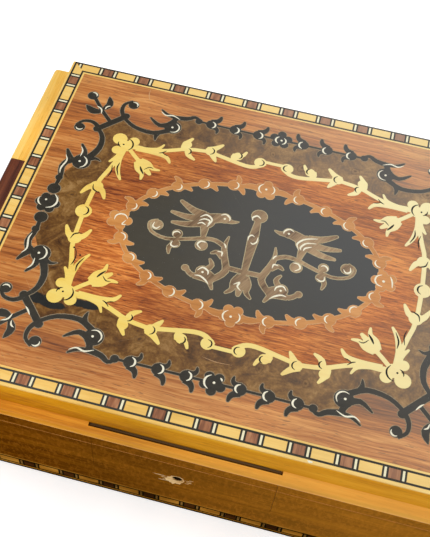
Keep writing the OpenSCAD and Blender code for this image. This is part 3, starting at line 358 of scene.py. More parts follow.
def ebony_material(name, low, high, finish=None):
    """Wood dyed black under lacquer, with faint pores, dust and hairline scratches."""
    s = Shader(name)
    fine = s.noise(s.stretched(s.place, (240.0, 420.0, 420.0)), 1.0, 5.0, 0.62)
    colour = s.ramp(fine, [(0.2, low), (0.8, high)])
    cloud = s.between(s.noise(s.place, 60.0, 4.0, 0.6), 0.45, 0.75, 0.0, 0.35)
    colour = s.mix(cloud, colour, paint(52, 52, 50))
    dust = s.between(s.noise(s.place, 1500.0, 1.0, 0.4), 0.74, 0.79, 0.0, 0.45)
    colour = s.mix(dust, colour, paint(150, 150, 142))
    if finish:
        colour = finish(s, colour)
    colour = scratched(s, colour, 0.22, paint(120, 120, 112))
    s.set("Base Color", colour)
    lacquer(s, s.between(fine, 0.3, 0.7, 0.30, 0.34), 0.5, 0.22, 0.4)
    s.set("Normal", s.bump(fine, 0.04, 0.00005))
    return s.material


def metal(name, base, worn, rough=0.32):
    """Rolled metal with fine drawing lines and dull patches."""
    s = Shader(name)
    drawn = s.noise(s.stretched(s.place, (120.0, 3200.0, 3200.0)), 1.0, 3.0, 0.6)
    dull = s.between(s.noise(s.place, 170.0, 4.0, 0.65), 0.42, 0.68)
    s.set("Base Color", s.mix(dull, base, worn))
    s.set("Metallic", 1.0)
    base_rough = s.math("MULTIPLY_ADD", dull, 0.2, rough - 0.1)
    s.set("Roughness", s.math("MULTIPLY_ADD", drawn, 0.18, base_rough))
    s.set("Normal", s.bump(drawn, 0.2, 0.00004))
    return s.material


def felt_material():
    """Pressed wool felt: short tangled fibres, without a weave."""
    s = Shader("base_felt")
    fuzz = s.noise(s.place, 1500.0, 6.0, 0.75, 2.5)
    clump = s.noise(s.place, 210.0, 4.0, 0.6, 1.0)
    tone = s.math("MULTIPLY_ADD", fuzz, 0.6, s.math("MULTIPLY", clump, 0.4))
    s.set("Base Color", s.ramp(tone, [
        (0.3, paint(18, 42, 28)), (0.5, paint(32, 66, 45)), (0.72, paint(58, 94, 68))]))
    s.set("Roughness", 0.95)
    s.set("Specular IOR Level", 0.2)
    s.set("Sheen Weight", 0.5)
    s.set("Sheen Roughness", 0.5)
    s.set("Normal", s.bump(fuzz, 0.7, 0.0003))
    return s.material


def paper_material():
    """Dark red lining paper with laid lines, fibres and foxing."""
    s = Shader("lining_paper")
    laid = s.node("ShaderNodeTexWave", {"bands_direction": "Y"}, {
        "Vector": s.place, "Scale": 260.0, "Distortion": 1.2, "Detail": 2.0,
        "Detail Scale": 1.5}).outputs["Fac"]
    fibre = s.noise(s.place, 700.0, 5.0, 0.7, 1.6)
    colour = s.ramp(s.math("MULTIPLY_ADD", fibre, 0.75, s.math("MULTIPLY", laid, 0.25)), [
        (0.25, paint(92, 20, 24)), (0.55, paint(128, 34, 36)), (0.85, paint(156, 60, 54))])
    fox = s.between(s.noise(s.place, 30.0, 5.0, 0.65), 0.6, 0.78, 0.0, 0.5)
    s.set("Base Color", s.mix(fox, colour, paint(96, 50, 34)))
    s.set("Roughness", s.between(fibre, 0.3, 0.7, 0.78, 0.92))
    s.set("Normal", s.bump(fibre, 0.4, 0.0001))
    return s.material


def filler_material(name, base, shade, coat=0.4, level=0.5):
    """Hardened filler pressed into an engraved line."""
    s = Shader(name)
    grit = s.noise(s.place, 1800.0, 3.0, 0.6)
    s.set("Base Color", s.ramp(grit, [(0.3, shade), (0.62, base)]))
    lacquer(s, s.between(grit, 0.3, 0.7, 0.35, 0.5), coat, 0.2, level)
    s.set("Normal", s.bump(grit, 0.2, 0.00003))
    return s.material


ACROSS = math.radians(90.0)     # grain that runs along Y


def cross_fleck(turn, most):
    """Short paler flecks that cross the grain of the walnut."""
    def finish(s, colour):
        fleck = s.noise(s.stretched(s.turned(turn), (620.0, 300.0, 300.0)), 1.0, 4.0, 0.62, 0.6)
        band = s.noise(s.stretched(s.place, (9.0, 9.0, 60.0)), 1.0, 2.0)
        share = s.between(band, 0.3, 0.65, 0.5, 1.0)
        share = s.math("MULTIPLY", s.between(fleck, 0.44, 0.66, 0.0, most), share)
        return s.mix(share, colour, paint(164, 100, 26))
    return finish


def keyhole_painted_shade(s, colour):
    """Painted shade: near-black round the keyhole, on the faces behind the shutter's hole, for the
    shade inside the keyhole.
    """
    part = s.parts()
    u = s.math("SUBTRACT", part[0], HOLE_X)
    v = s.math("SUBTRACT", part[2], HOLE_Z)
    far = s.length(u, v)
    far = s.math("MULTIPLY_ADD", s.noise(s.place, 400.0, 3.0), 1.6 * MM, far)
    return s.mix(s.between(far, 4.0 * MM, 5.6 * MM, 0.92, 0.0), colour, paint(16, 11, 6))


def slot_painted_shade(s, colour):
    """Painted shade: the end of the shutter that shows in the ledge's slot is darkened, for the
    shade down in the slot.
    """
    share = s.between(s.parts()[2], LID_TOP - 11.5 * MM, LID_TOP - 10.5 * MM, 0.0, 0.85)
    return s.mix(share, colour, paint(34, 20, 6))


def walnut(name, turn, most=0.5, last=None):
    """The veneer of the sides; most is how much painted light is added towards the right end."""
    light = added_light_gradient(0.41 * most, 0.19 * most, 0.023 * most, -0.12, 0.15, 0.0)
    finish = both(cross_fleck(turn, 0.28 if turn else 0.42), light)
    return wood(name, paint(66, 30, 0), paint(100, 54, 3), paint(138, 84, 12), turn=turn,
                figure=(8.0, 110.0), lines=(26.0, 700.0), contrast=1.15, pores=0.5, drift=0.14,
                coat=0.0, level=0.0,
                finish=both(finish, last) if last else finish)


def pine(name, tones, turn=0.0, level=0.35, finish=None):
    """Bare softwood of the carcase."""
    return wood(name, *tones, turn=turn, figure=(7.0, 140.0), lines=(30.0, 420.0), contrast=1.1,
                pores=0.15, coat=0.0, level=level, rough=(0.6, 0.75), bump=0.4, finish=finish)


def honey(name, tones, turn, tint, most):
    """The honey-coloured wood of the mouldings, with painted light: a gradient towards the tint
    along X.
    """
    return wood(name, *tones, turn=turn, figure=(6.0, 190.0), lines=(24.0, 520.0),
                contrast=1.45, pores=0.3, drift=0.12, bump=0.2, coat=0.05, level=0.04,
                finish=painted_light_gradient(tint, most, -0.12, 0.13, 0.0))


PINE_TONES = (paint(150, 104, 56), paint(205, 160, 102), paint(226, 190, 138))
# A darker copy of the carcase pine for the shutter board: painted shade of the slot and hole where
# it shows.
SHUTTER_SHADED_TONES = (paint(130, 86, 40), paint(190, 144, 88), paint(216, 176, 122))
# One honey wood in copies for the front ledge, the side mouldings and the front cove, each matched
# to how bright that face looks: painted light and shade; the side copy is painted much lighter for
# the lit left side.
LEDGE_TONES = (paint(190, 114, 20), paint(222, 146, 36), paint(244, 178, 66))
SIDE_LIT_TONES = (paint(232, 176, 70), paint(246, 198, 96), paint(252, 214, 124))
COVE_TONES = (paint(194, 122, 8), paint(230, 158, 20), paint(248, 186, 48))

# Several finishes below paint light into the colour: a gradient along X for the light and lacquer
# reflection that change across the box.
MATERIALS = {
    "carcase_pine": pine("carcase_pine", PINE_TONES),
    "base_felt": felt_material(),
    "lining_paper": paper_material(),
    "walnut_veneer": walnut("walnut_veneer", 0.0),
    "ebony": ebony_material("ebony", paint(34, 29, 18), paint(54, 48, 34)),
    # painted light: paler towards the right
    "boxwood": wood("boxwood", paint(242, 192, 76), paint(255, 219, 103), paint(255, 230, 130),
                    figure=(20.0, 120.0), lines=(60.0, 500.0), contrast=0.8, pores=0.12,
                    drift=0.04, bump=0.08, finish=painted_light_gradient(paint(254, 250, 208), 0.7)),
    # painted light: paler towards the right
    "brown_wood": wood("brown_wood", paint(108, 58, 32), paint(158, 98, 60), paint(192, 134, 90),
                       turn=ACROSS, figure=(60.0, 420.0), lines=(90.0, 900.0), contrast=1.3,
                       drift=0.12, finish=painted_light_gradient(paint(196, 164, 136), 0.4)),
    "holly": wood("holly", paint(238, 226, 178), paint(250, 242, 202), paint(255, 250, 220),
                  contrast=0.6, pores=0.08, drift=0.03, bump=0.06),
    "lock_brass": metal("lock_brass", paint(214, 172, 92), paint(150, 112, 56)),
    "steel": metal("steel", paint(176, 176, 178), paint(120, 116, 110)),
    # painted light along X, more on the ledge than on the cove
    "honey_cove": honey("honey_cove", COVE_TONES, 0.0, paint(238, 180, 66), 0.38),
    "honey_ledge": honey("honey_ledge", LEDGE_TONES, 0.0, paint(248, 188, 94), 0.6),
    # painted reflection: a pale haze added towards the right
    "cherry_field": wood("cherry_field", paint(114, 54, 8), paint(182, 103, 32),
                         paint(220, 150, 76), figure=(7.0, 110.0), lines=(34.0, 900.0),
                         wave=0.005, contrast=1.5, pores=0.6, pore_size=(190.0, 1500.0),
                         weights=(0.45, 0.43, 0.12), drift=0.12,
                         finish=both(added_light_gradient(0.085, 0.115, 0.094, -0.16, 0.16),
                                     lambda s, c: scratched(s, c, 0.25, paint(232, 190, 140)))),
    "walnut_burl": burl_material(),
    # painted light: lighter and warmer towards the right
    "mahogany": wood("mahogany", paint(114, 44, 4), paint(188, 99, 30), paint(234, 150, 68),
                     figure=(22.0, 90.0), lines=(130.0, 1250.0), wave=0.002,
                     contrast=1.5, pores=0.7, pore_size=(260.0, 1400.0),
                     weights=(0.28, 0.52, 0.2), drift=0.18,
                     finish=added_light_gradient(0.085, 0.045, 0.012, -0.10, 0.13, 0.5)),
    "pearwood": wood("pearwood", paint(172, 100, 38), paint(208, 138, 66), paint(226, 162, 92),
                     figure=(14.0, 90.0), lines=(50.0, 500.0), contrast=0.9, pores=0.2, drift=0.1),
    "olive_wood": wood("olive_wood", paint(100, 72, 42), paint(154, 122, 84), paint(184, 152, 110),
                       turn=math.radians(60.0), figure=(20.0, 130.0), lines=(60.0, 600.0),
                       contrast=1.5, pores=0.4),
    "tray_brown": wood("tray_brown", paint(58, 22, 8), paint(96, 44, 20), paint(126, 66, 32),
                       turn=ACROSS, figure=(8.0, 240.0), lines=(30.0, 600.0), contrast=1.1),
}
PINE_ACROSS = pine("carcase_pine_across", PINE_TONES, ACROSS)
# Painted shade: both carry a near-black patch round the keyhole, and the shutter board a darkened
# top where it shows in the slot.
LOCK_WALL = pine("front_wall_pine", PINE_TONES, level=0.1, finish=keyhole_painted_shade)
SHUTTER_PINE = pine("shutter_pine", SHUTTER_SHADED_TONES, level=0.1,
                    finish=both(slot_painted_shade, keyhole_painted_shade))
# Painted light: the sides and back get a smaller lift towards the right than the front.
WALNUT_SIDE = walnut("walnut_side", ACROSS, 0.3)
WALNUT_BACK = walnut("walnut_back", 0.0, 0.3)
# Painted light: the side mouldings use the lighter copy of the honey wood.
LEDGE_SIDE = honey("honey_ledge_side", SIDE_LIT_TONES, ACROSS, paint(240, 172, 70), 0.3)
COVE_SIDE = honey("honey_cove_side", COVE_TONES, ACROSS, paint(232, 180, 70), 0.4)
# Painted light: the banding's boxwood grows paler towards the right.
BAND_BOXWOOD = wood("band_boxwood", paint(236, 184, 84), paint(252, 204, 106), paint(254, 220, 132),
                    figure=(20.0, 120.0), lines=(60.0, 500.0), contrast=0.9, pores=0.2,
                    drift=0.05, bump=0.08, finish=painted_light_gradient(paint(252, 230, 164), 0.6))


def base_wood(name, dark, mid, light):
    """The banding round the base: darker copies of the lid banding's woods, painted shade of the
    box's lower faces.
    """
    return wood(name, dark, mid, light, figure=(60.0, 300.0), lines=(110.0, 900.0), contrast=1.2,
                pores=0.5, drift=0.2, coat=0.0, level=0.0)


# the nodes whose grain or painted light and shade differs from the rest of their slot
OWN_FINISH = {
    "band_light": BAND_BOXWOOD, "edge_stringing": BAND_BOXWOOD,
    # Painted shade: the medallion's black grows darker towards the right and back.
    "medallion_ground": ebony_material("medallion_ebony", paint(62, 56, 43), paint(68, 62, 48),
                                       painted_light_gradient(paint(34, 38, 40), 0.75, -0.06, 0.07)),
    # Painted shade: darker copies of the banding woods for the base.
    "base_band_light": base_wood("base_boxwood", paint(120, 76, 18), paint(168, 112, 34),
                                 paint(196, 142, 58)),
    "base_band_brown": base_wood("base_brown_wood", paint(38, 20, 6), paint(66, 36, 12),
                                 paint(90, 54, 22)),
    "base_band_white": base_wood("base_holly", paint(76, 52, 18), paint(120, 86, 38),
                                 paint(160, 122, 64)),
    "base_band_lines": base_wood("base_ebony", paint(18, 12, 2), paint(30, 22, 6),
                                 paint(44, 34, 12)),
    "left_wall": PINE_ACROSS, "right_wall": PINE_ACROSS, "lid_rail_left": PINE_ACROSS,
    "lid_rail_right": PINE_ACROSS, "tray_box": PINE_ACROSS,
    "body_veneer_left": WALNUT_SIDE, "body_veneer_right": WALNUT_SIDE,
    "lid_veneer_left": WALNUT_SIDE, "lid_veneer_right": WALNUT_SIDE,
    "body_veneer_back": WALNUT_BACK, "lid_veneer_back": WALNUT_BACK,
    # painted shade at its top, where it shows in the slot
    "shutter_veneer": walnut("shutter_walnut", 0.0, last=slot_painted_shade),
    "shutter_board": SHUTTER_PINE, "front_wall": LOCK_WALL,
    "ledge_left_front": LEDGE_SIDE, "ledge_left_rear": LEDGE_SIDE, "ledge_right": LEDGE_SIDE,
    "cove_left": COVE_SIDE, "cove_right": COVE_SIDE,
}


def dress_nodes():
    """Gives each CAD node its own finish, or the one of its slot."""
    for name, node in NODES.items():
        slot = node.data.materials[0].name
        node.data.materials[0] = OWN_FINISH.get(name, MATERIALS[slot])


# ------------------------------------------------- inlaid lines and dots

RIB_PROUD = 0.035      # how far the middle of an inlaid line stands over the face, in millimetres
EDGE_PROUD = 0.012     # the same for its two edges
RIB_DEPTH = 0.30       # how deep it is let in
END_SHARE = 0.22       # width of a stroke's tips, as a share of its middle
STEPS = 4              # points added between two given ones


def smooth_line(points):
    """More points along the smooth curve that runs through a few."""
    p = [Vector(q) for q in points]
    if len(p) < 3:
        return [p[0].lerp(p[-1], k / STEPS) for k in range(STEPS + 1)]
    out = []
    for i in range(len(p) - 1):
        a, b, c, d = p[max(i - 1, 0)], p[i], p[i + 1], p[min(i + 2, len(p) - 1)]
        for k in range(STEPS):
            s = k / STEPS
            out.append(0.5 * (2 * b + (c - a) * s + (2 * a - 5 * b + 4 * c - d) * s * s
                              + (3 * b - a - 3 * c + d) * s ** 3))
    return out + [p[-1]]


def arc(x, y, r, start, end):
    """Points along a part of a circle, in plan millimetres and degrees."""
    count = 5
    return [(x + r * math.cos(math.radians(start + (end - start) * k / (count - 1))),
             y + r * math.sin(math.radians(start + (end - start) * k / (count - 1))))
            for k in range(count)]


class Inlay:
    """Thin lines and dots let into a face, joined into one mesh of closed solids."""

    def __init__(self, lift):
        self.mesh = bmesh.new()
        self.lift = lift      # turns (x, y, height) in millimetres into a point in the frame

    def section(self, centre, normal, half):
        """The five corners of a line's cross-section."""
        profile = ((-half, EDGE_PROUD), (0.0, RIB_PROUD), (half, EDGE_PROUD),
                   (half, -RIB_DEPTH), (-half, -RIB_DEPTH))
        return [self.mesh.verts.new(self.lift(centre.x + normal.x * w, centre.y + normal.y * w, z))
                for w, z in profile]

    def join(self, a, b):
        for k in range(len(a)):
            j = (k + 1) % len(a)
            self.mesh.faces.new((a[k], a[j], b[j], b[k]))

    def line(self, points, width, mirror=(1, 1), tips=END_SHARE):
        """An open stroke that is widest in its middle."""
        p = smooth_line([(x * mirror[0], y * mirror[1]) for x, y in points])
        last = len(p) - 1
        rings = []
        for i, q in enumerate(p):
            along = (p[min(i + 1, last)] - p[max(i - 1, 0)]).normalized()
            swell = math.sin(math.pi * i / last)
            half = width / 2 * (tips + (1 - tips) * swell)
            rings.append(self.section(q, Vector((-along.y, along.x)), half))
        for a, b in zip(rings, rings[1:]):
            self.join(a, b)
        self.mesh.faces.new(rings[0])
        self.mesh.faces.new(rings[-1])

    def loop(self, points, half):
        """A closed line of even width."""
        count = len(points)
        rings = []
        for i, q in enumerate(points):
            before = (q - points[i - 1]).normalized()
            after = (points[(i + 1) % count] - q).normalized()
            normal = Vector((-before.y - after.y, before.x + after.x))
            if normal.length < 1e-6:
                normal = Vector((-before.y, before.x))
            rings.append(self.section(q, normal.normalized(), half))
        for i in range(count):
            self.join(rings[i], rings[(i + 1) % count])

    def dot(self, x, y, r, mirror=(1, 1)):
        """A small round dot with a low crown."""
        sides = 10
        turns = [math.tau * k / sides for k in range(sides)]
        round_about = [(math.cos(turn), math.sin(turn)) for turn in turns]
        x, y = x * mirror[0], y * mirror[1]
        rings = []
        for size, z in ((r, -RIB_DEPTH), (r, EDGE_PROUD), (r * 0.55, RIB_PROUD)):
            rings.append([self.mesh.verts.new(self.lift(x + size * c, y + size * s, z))
                          for c, s in round_about])
        self.mesh.faces.new(rings[0])
        for a, b in zip(rings, rings[1:]):
            self.join(a, b)
        self.mesh.faces.new(rings[-1])

    def finish(self, name, material, body, slot):
        piece = closed(self.mesh, name, material)
        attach(piece, body)


QUARTERS = [(mx, my) for mx in (1, -1) for my in (1, -1)]
CREAM = filler_material("cream_filler", paint(255, 250, 226), paint(232, 222, 188))
PALE_LINE = filler_material("pale_line", paint(196, 178, 136), paint(158, 140, 102))
WARM_LINE = filler_material("warm_line", paint(222, 176, 122), paint(186, 134, 84))
GREY_LINE = filler_material("grey_line", paint(164, 146, 116), paint(120, 102, 78), 0.2, 0.3)
DARK_LINE = filler_material("dark_line", paint(22, 18, 12), paint(10, 8, 6), 0.1, 0.2)
rng = random.Random(11)


def lean(most):
    """A small random amount to either side, as of work done by hand."""
    return rng.uniform(-most, most)


def scroll_marks():
    """Cream crescents, waves and dots on the ebony scroll."""
    ink = Inlay(plan)
    for m in QUARTERS:
        for x in (37.0, 24.4, 11.8):
            t = lean(12)
            ink.line(arc(x + 0.3, 73.0, 2.4 + lean(0.15), 108 + t, 258 + t), 0.95, m)
        t = lean(14)
        ink.line(arc(56.0, 65.3, 3.4, 125 + t, 292 + t), 0.8, m)
        ink.dot(56.2 + lean(0.4), 65.3, 0.62, m)
        t = lean(8)
        ink.line(arc(95.0, 29.3, 4.1, 112 + t, 248 + t), 0.85, m)
        ink.dot(94.5, 29.2 + lean(0.4), 0.62, m)
        ink.line(arc(102.3, 75.3, 2.0, 62, 190), 0.8, m)
        ink.line(arc(79.6, 74.8, 1.9, 58, 205), 0.8, m)
        ink.line(arc(102.0, 52.0, 2.0, 205, 335), 0.8, m)
        ink.line([(97.9, 68.4), (95.2, 66.9), (94.2, 63.8)], 0.8, m)
        ink.line([(93.4, 67.2), (92.8, 69.4), (91.2, 70.4)], 0.8, m)
        ink.line([(64.6, 74.4), (61.6, 72.6), (57.8, 73.4), (53.8, 71.7)], 0.85, m)
        ink.line([(102.4, 31.5), (100.8, 28.3), (102.0, 22.8), (101.4, 19.4)], 0.85, m)
        ink.line([(96.7, 39.0), (95.2, 36.3), (95.3, 32.6)], 0.75, m)
        if m[1] < 0:
            ink.line([(90.0, 58.6), (88.4, 60.2), (86.8, 62.4)], 0.8, m)
    for my, r in ((1, 2.5), (-1, 3.7)):
        ink.line(arc(-0.2, 73.0, r, 112, 250), 0.95, (1, my))
        ink.line(arc(0.2, 72.8, r, -60 - 10 * my, 20 + 40 * my), 0.85, (1, my))
        ink.dot(0.4, 73.0, 0.62, (1, my))
    for mx in (1, -1):
        ink.line(arc(101.4, 1.6, 4.8, 118, 262), 0.95, (mx, 1))
        ink.line(arc(102.2, 1.2, 3.6, -72, 24), 0.8, (mx, 1))
        ink.dot(102.1, 1.6, 0.55, (mx, 1))
    ink.finish("scroll_marks", CREAM, "lid", "holly")


def garland_marks():
    """Black engraved lines on the boxwood garland."""
    ink = Inlay(plan)
    for m in QUARTERS:
        t = lean(14)
        ink.line(arc(76.4, 46.8, 4.4, 108 + t, 236 + t), 0.87, m)
        ink.line(arc(77.0, 47.2, 2.7, -70 + t, 20 + t), 0.7, m)
        ink.dot(76.8, 46.6, 0.5, m)
        ink.line([(64.6, 35.0), (63.4, 32.8), (61.6, 30.4)], 1.05, m)
        ink.line([(62.2, 33.4), (60.0, 35.6), (57.8, 35.4)], 0.56, m)
        ink.line([(58.2, 46.2), (56.4, 47.0), (54.6, 48.8)], 0.63, m)
        ink.line([(56.4, 46.9), (54.6, 46.0), (52.8, 45.6)], 0.56, m)
        ink.line([(75.0, 34.4), (75.3, 30.6), (73.4, 26.0)], 0.77, m)
        ink.line([(78.2, 31.8), (77.4, 27.4), (78.4, 23.2)], 0.63, m)
        ink.line([(83.3, 17.4), (82.6, 14.6), (80.8, 13.4), (78.6, 12.8)], 0.77, m)
        ink.line(arc(44.6, 51.6, 2.0, 105 + t, 250 + t), 0.77, m)
        ink.line(arc(33.5, 55.2, 2.3, 112 + t, 262 + t), 0.7, m)
        ink.line(arc(18.9, 56.2, 2.0, 108 + t, 250 + t), 0.77, m)
        ink.line(arc(7.2, 55.0, 2.1, 95 - t, 262 - t), 0.7, m)
    for mx in (1, -1):
        ink.line(arc(83.0, 0.2, 2.7, 100, 250), 0.84, (mx, 1))
    ink.line([(-79.9, -21.4), (-78.2, -24.0), (-77.4, -28.0), (-77.7, -31.0)], 0.5)
    for x, y in ((-79.9, -21.8), (-75.8, -25.3)):
        ink.dot(x, y, 0.5)
    ink.finish("garland_marks", DARK_LINE, "lid", "ebony")


WREATH_A, WREATH_B = 63.0, 38.0
WREATH_TURNS = (15, 32, 47, 61, 75)


def wreath_marks():
    """Cream crescents on the wreath's buds and roses; each bulges towards the lid's middle line."""
    ink = Inlay(plan)
    for mx, my in QUARTERS:
        for turn in WREATH_TURNS:
            a = math.radians(turn)
            x, y = WREATH_A * math.cos(a), WREATH_B * math.sin(a)
            sag = 24 if turn < 40 else 8
            t = sag * my + lean(14)
            shape = arc(0.0, 0.0, 2.4 + lean(0.25), 112 + t, 252 + t)
            ink.line([(x + 0.3 + p[0], y * my + p[1]) for p in shape], 0.75, (mx, 1))
    for my in (1, -1):
        ink.line(arc(-0.9, 38.6, 3.2, 112, 248), 0.75, (1, my))
        ink.line(arc(0.6, 38.6, 3.2, -50, 58), 0.7, (1, my))
        ink.dot(-0.4, 38.6, 0.6, (1, my))
    ink.line(arc(63.6, 0.2, 3.4, 98, 276), 0.85)
    ink.line([(67.0, 3.6), (68.2, 0.8), (68.6, -2.6)], 0.8)
    ink.dot(64.2, 0.0, 0.7)
    ink.line(arc(-63.9, 0.4, 3.2, 200, 18), 0.8)
    ink.line([(-61.4, 0.4), (-62.6, -2.4), (-60.6, -2.0)], 0.7)
    ink.finish("wreath_marks", CREAM, "lid", "holly")


def ornament_marks():
    """Cream lines on the medallion's ornament."""
    ink = Inlay(plan)
    ink.line([(-2.7, 17.6), (-3.0, 19.4), (-1.0, 21.0), (1.0, 19.6)], 1.0)
    ink.line([(-2.3, 5.2), (-2.4, 7.4), (-1.2, 8.8), (0.4, 8.2)], 0.9)
    ink.line([(2.0, 8.4), (1.9, 5.4), (0.4, 3.8), (-0.8, 4.4)], 0.9)
    ink.line([(-3.2, -21.2), (-0.7, -19.4), (-1.2, -21.9), (0.8, -23.8)], 0.95)
    ink.line([(30.0, 15.6), (24.1, 13.6), (20.9, 9.9), (22.3, 6.4)], 1.0)
    ink.line([(29.8, 12.5), (25.2, 11.4), (22.9, 8.4), (23.4, 6.7)], 0.95)
    ink.line([(28.1, 10.0), (25.2, 8.5), (24.4, 6.6)], 0.9)
    ink.line([(-27.7, 12.5), (-24.9, 14.6), (-21.7, 12.3), (-23.1, 7.6)], 1.0)
    ink.line([(-27.7, 10.2), (-25.4, 11.9), (-22.6, 11.4), (-23.1, 9.1)], 0.9)
    ink.line([(-28.0, 8.2), (-26.0, 9.4), (-23.9, 8.5)], 0.82)
    for mx in (1, -1):
        m = (mx, 1)
        ink.line([(18.2, 16.4), (15.9, 17.5), (13.6, 15.8), (13.5, 14.0)], 0.9, m)
        ink.dot(15.9, 14.7, 0.6, m)
        ink.line([(47.9, 3.4), (48.2, 0.8), (46.2, -0.2), (44.8, 1.6)], 0.9, m)
        ink.line([(37.4, -2.2), (37.6, -0.3), (35.9, 1.0), (34.2, 0.2)], 0.9, m)
        ink.line([(36.8, -5.2), (37.0, -7.4), (35.4, -8.2), (33.4, -7.2)], 0.82, m)
        ink.line([(21.0, -1.6), (23.7, -1.6), (24.9, -3.9), (22.6, -6.0)], 0.95, m)
        ink.line([(12.9, 0.3), (11.9, -0.8), (11.4, -2.3)], 0.82, m)
        ink.line([(14.8, -5.2), (12.6, -5.0), (12.2, -7.4)], 0.9, m)
        ink.line([(21.2, -18.2), (19.2, -16.0), (16.4, -17.2), (15.9, -19.4)], 0.95, m)
        ink.dot(18.6, -18.6, 0.6, m)
        ink.line([(21.8, -21.2), (19.2, -21.0), (16.2, -22.6), (14.4, -24.6)], 0.95, m)
    ink.finish("ornament_marks", CREAM, "lid", "holly")


def top_loops(node):
    """The outlines of a sheet's upper face, as closed lists of plan points in millimetres."""
    data = node.data
    top = max(v.co.z for v in data.vertices)

    def key(index):
        co = data.vertices[index].co
        return (round(co.x / (MM * 0.004)), round(co.y / (MM * 0.004)))

    spot, used = {}, {}
    for face in data.polygons:
        if face.normal.z < 0.9 or abs(data.vertices[face.vertices[0]].co.z - top) > 0.05 * MM:
            continue
        keys = [key(i) for i in face.vertices]
        for k, i in zip(keys, face.vertices):
            spot[k] = data.vertices[i].co
        for a, b in zip(keys, keys[1:] + keys[:1]):
            if a == b:
                continue
            if (b, a) in used:
                del used[(b, a)]
            else:
                used[(a, b)] = True
    follow = {}
    for a, b in used:
        follow.setdefault(a, []).append(b)
    loops = []
    while follow:
        start = next(iter(follow))
        walk, here = [], start
        while here in follow:
            nexts = follow[here]
            after = nexts.pop()
            if not nexts:
                del follow[here]
            walk.append(here)
            here = after
        if len(walk) > 3:
            loops.append([Vector(((spot[k].x - PLAN_X) / MM / PLAN_SCALE,
                                  (spot[k].y - PLAN_Y) / MM / PLAN_SCALE)) for k in walk])
    return loops


def outline(node_name, name, half, material, slot, drop=0.0):
    """A fine line of filler in the saw cut round every piece of one inlaid sheet."""
    ink = Inlay(lambda x, y, z: plan(x, y, z - drop))
    for points in top_loops(NODES[node_name]):
        ink.loop(points, half)
    ink.finish(name, material, "lid", slot)


# ------------------------------------------------------- wear and damage

RAW_WOOD = wood("raw_wood", paint(190, 132, 66), paint(236, 192, 126), paint(252, 226, 172),
                figure=(120.0, 900.0), lines=(240.0, 1600.0), contrast=1.5, pores=0.4, coat=0.0,
                level=0.1, rough=(0.65, 0.8), bump=0.6)
# A pale line colour: partly rubbed wood, partly a painted highlight on the arris.
WORN_EDGE_HIGHLIGHT = filler_material("worn_edge_highlight", paint(212, 146, 74), paint(158, 98, 40), 0.0, 0.0)


TORN_SIDE = math.radians(238.0)     # towards the front's lower left, where most wood broke away
# places from the middle of the hole, lengths and thicknesses, in millimetres
SLIVERS = ((-8.2, 0.5, 6.4, 0.55), (-6.0, -1.2, 3.2, 0.5), (-7.0, -4.6, 3.6, 0.6),
           (-5.6, -3.4, 2.6, 0.5), (5.2, 0.6, 3.2, 0.5), (6.6, 2.0, 2.2, 0.45),
           (5.6, -1.0, 2.8, 0.5), (4.6, -2.4, 2.2, 0.5))
SLIVER_DEPTH = (-0.015, 0.25)       # front and back of a sliver, in millimetres behind the face


def splintered_hole():
    """Torn wood round the shutter's hole: thin above, broad at the lower left, and slivers."""
    mesh = bmesh.new()
    face = SHUTTER_LOW.y
    count = 44
    inner, crest, outer, back = [], [], [], []

    def on_ring(reach, angle, depth):
        return mesh.verts.new((HOLE_X + reach * math.cos(angle), face + depth * MM,
                               HOLE_Z + reach * math.sin(angle)))

    for k in range(count):
        a = math.tau * k / count
        side = abs(math.cos(a))
        torn = max(0.0, math.cos(a - TORN_SIDE))
        hole = HOLE_R * (rng.uniform(0.95, 1.0) - 0.13 * side - 0.3 * torn)
        ragged = rng.uniform(0.7, 1.3) * (1.2 if k % 2 else 0.8)
        rim = HOLE_R + (0.35 + 0.3 * side + 2.7 * torn ** 1.5) * ragged * MM
        lip = hole + rng.uniform(0.15, 0.35) * MM
        inner.append(on_ring(hole, a, 0.45))
        crest.append(on_ring(lip, a, -0.07))
        outer.append(on_ring(rim, a, -0.02))
        back.append(on_ring(rim * 0.98, a, 0.4))
    for k in range(count):
        j = (k + 1) % count
        for near, far in ((inner, crest), (crest, outer), (outer, back), (back, inner)):
            mesh.faces.new((near[k], near[j], far[j], far[k]))
    for dx, dz, length, thick in SLIVERS:
        a = Vector((HOLE_X + (dx - length / 2) * MM, 0.0, HOLE_Z + dz * MM))
        b = Vector((HOLE_X + (dx + length / 2) * MM, 0.0, HOLE_Z + (dz + lean(0.35)) * MM))
        middle = (a + b) / 2
        tips = [(a, 0.06), (a.lerp(middle, 0.6), 0.8), (b.lerp(middle, 0.5), 1.0), (b, 0.06)]
        front, rear = SLIVER_DEPTH
        corners = ((-1, front), (1, front), (1, rear), (-1, rear))
        rings = [[mesh.verts.new((p.x, face + y * MM, p.z + s * thick * w * MM / 2))
                  for s, y in corners] for p, w in tips]
        for p, q in zip(rings, rings[1:]):
            for k in range(4):
                mesh.faces.new((p[k], p[(k + 1) % 4], q[(k + 1) % 4], q[k]))
        mesh.faces.new(rings[0])
        mesh.faces.new(rings[-1])
    piece = closed(mesh, "splintered_hole", RAW_WOOD)
    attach(piece, "shutter")


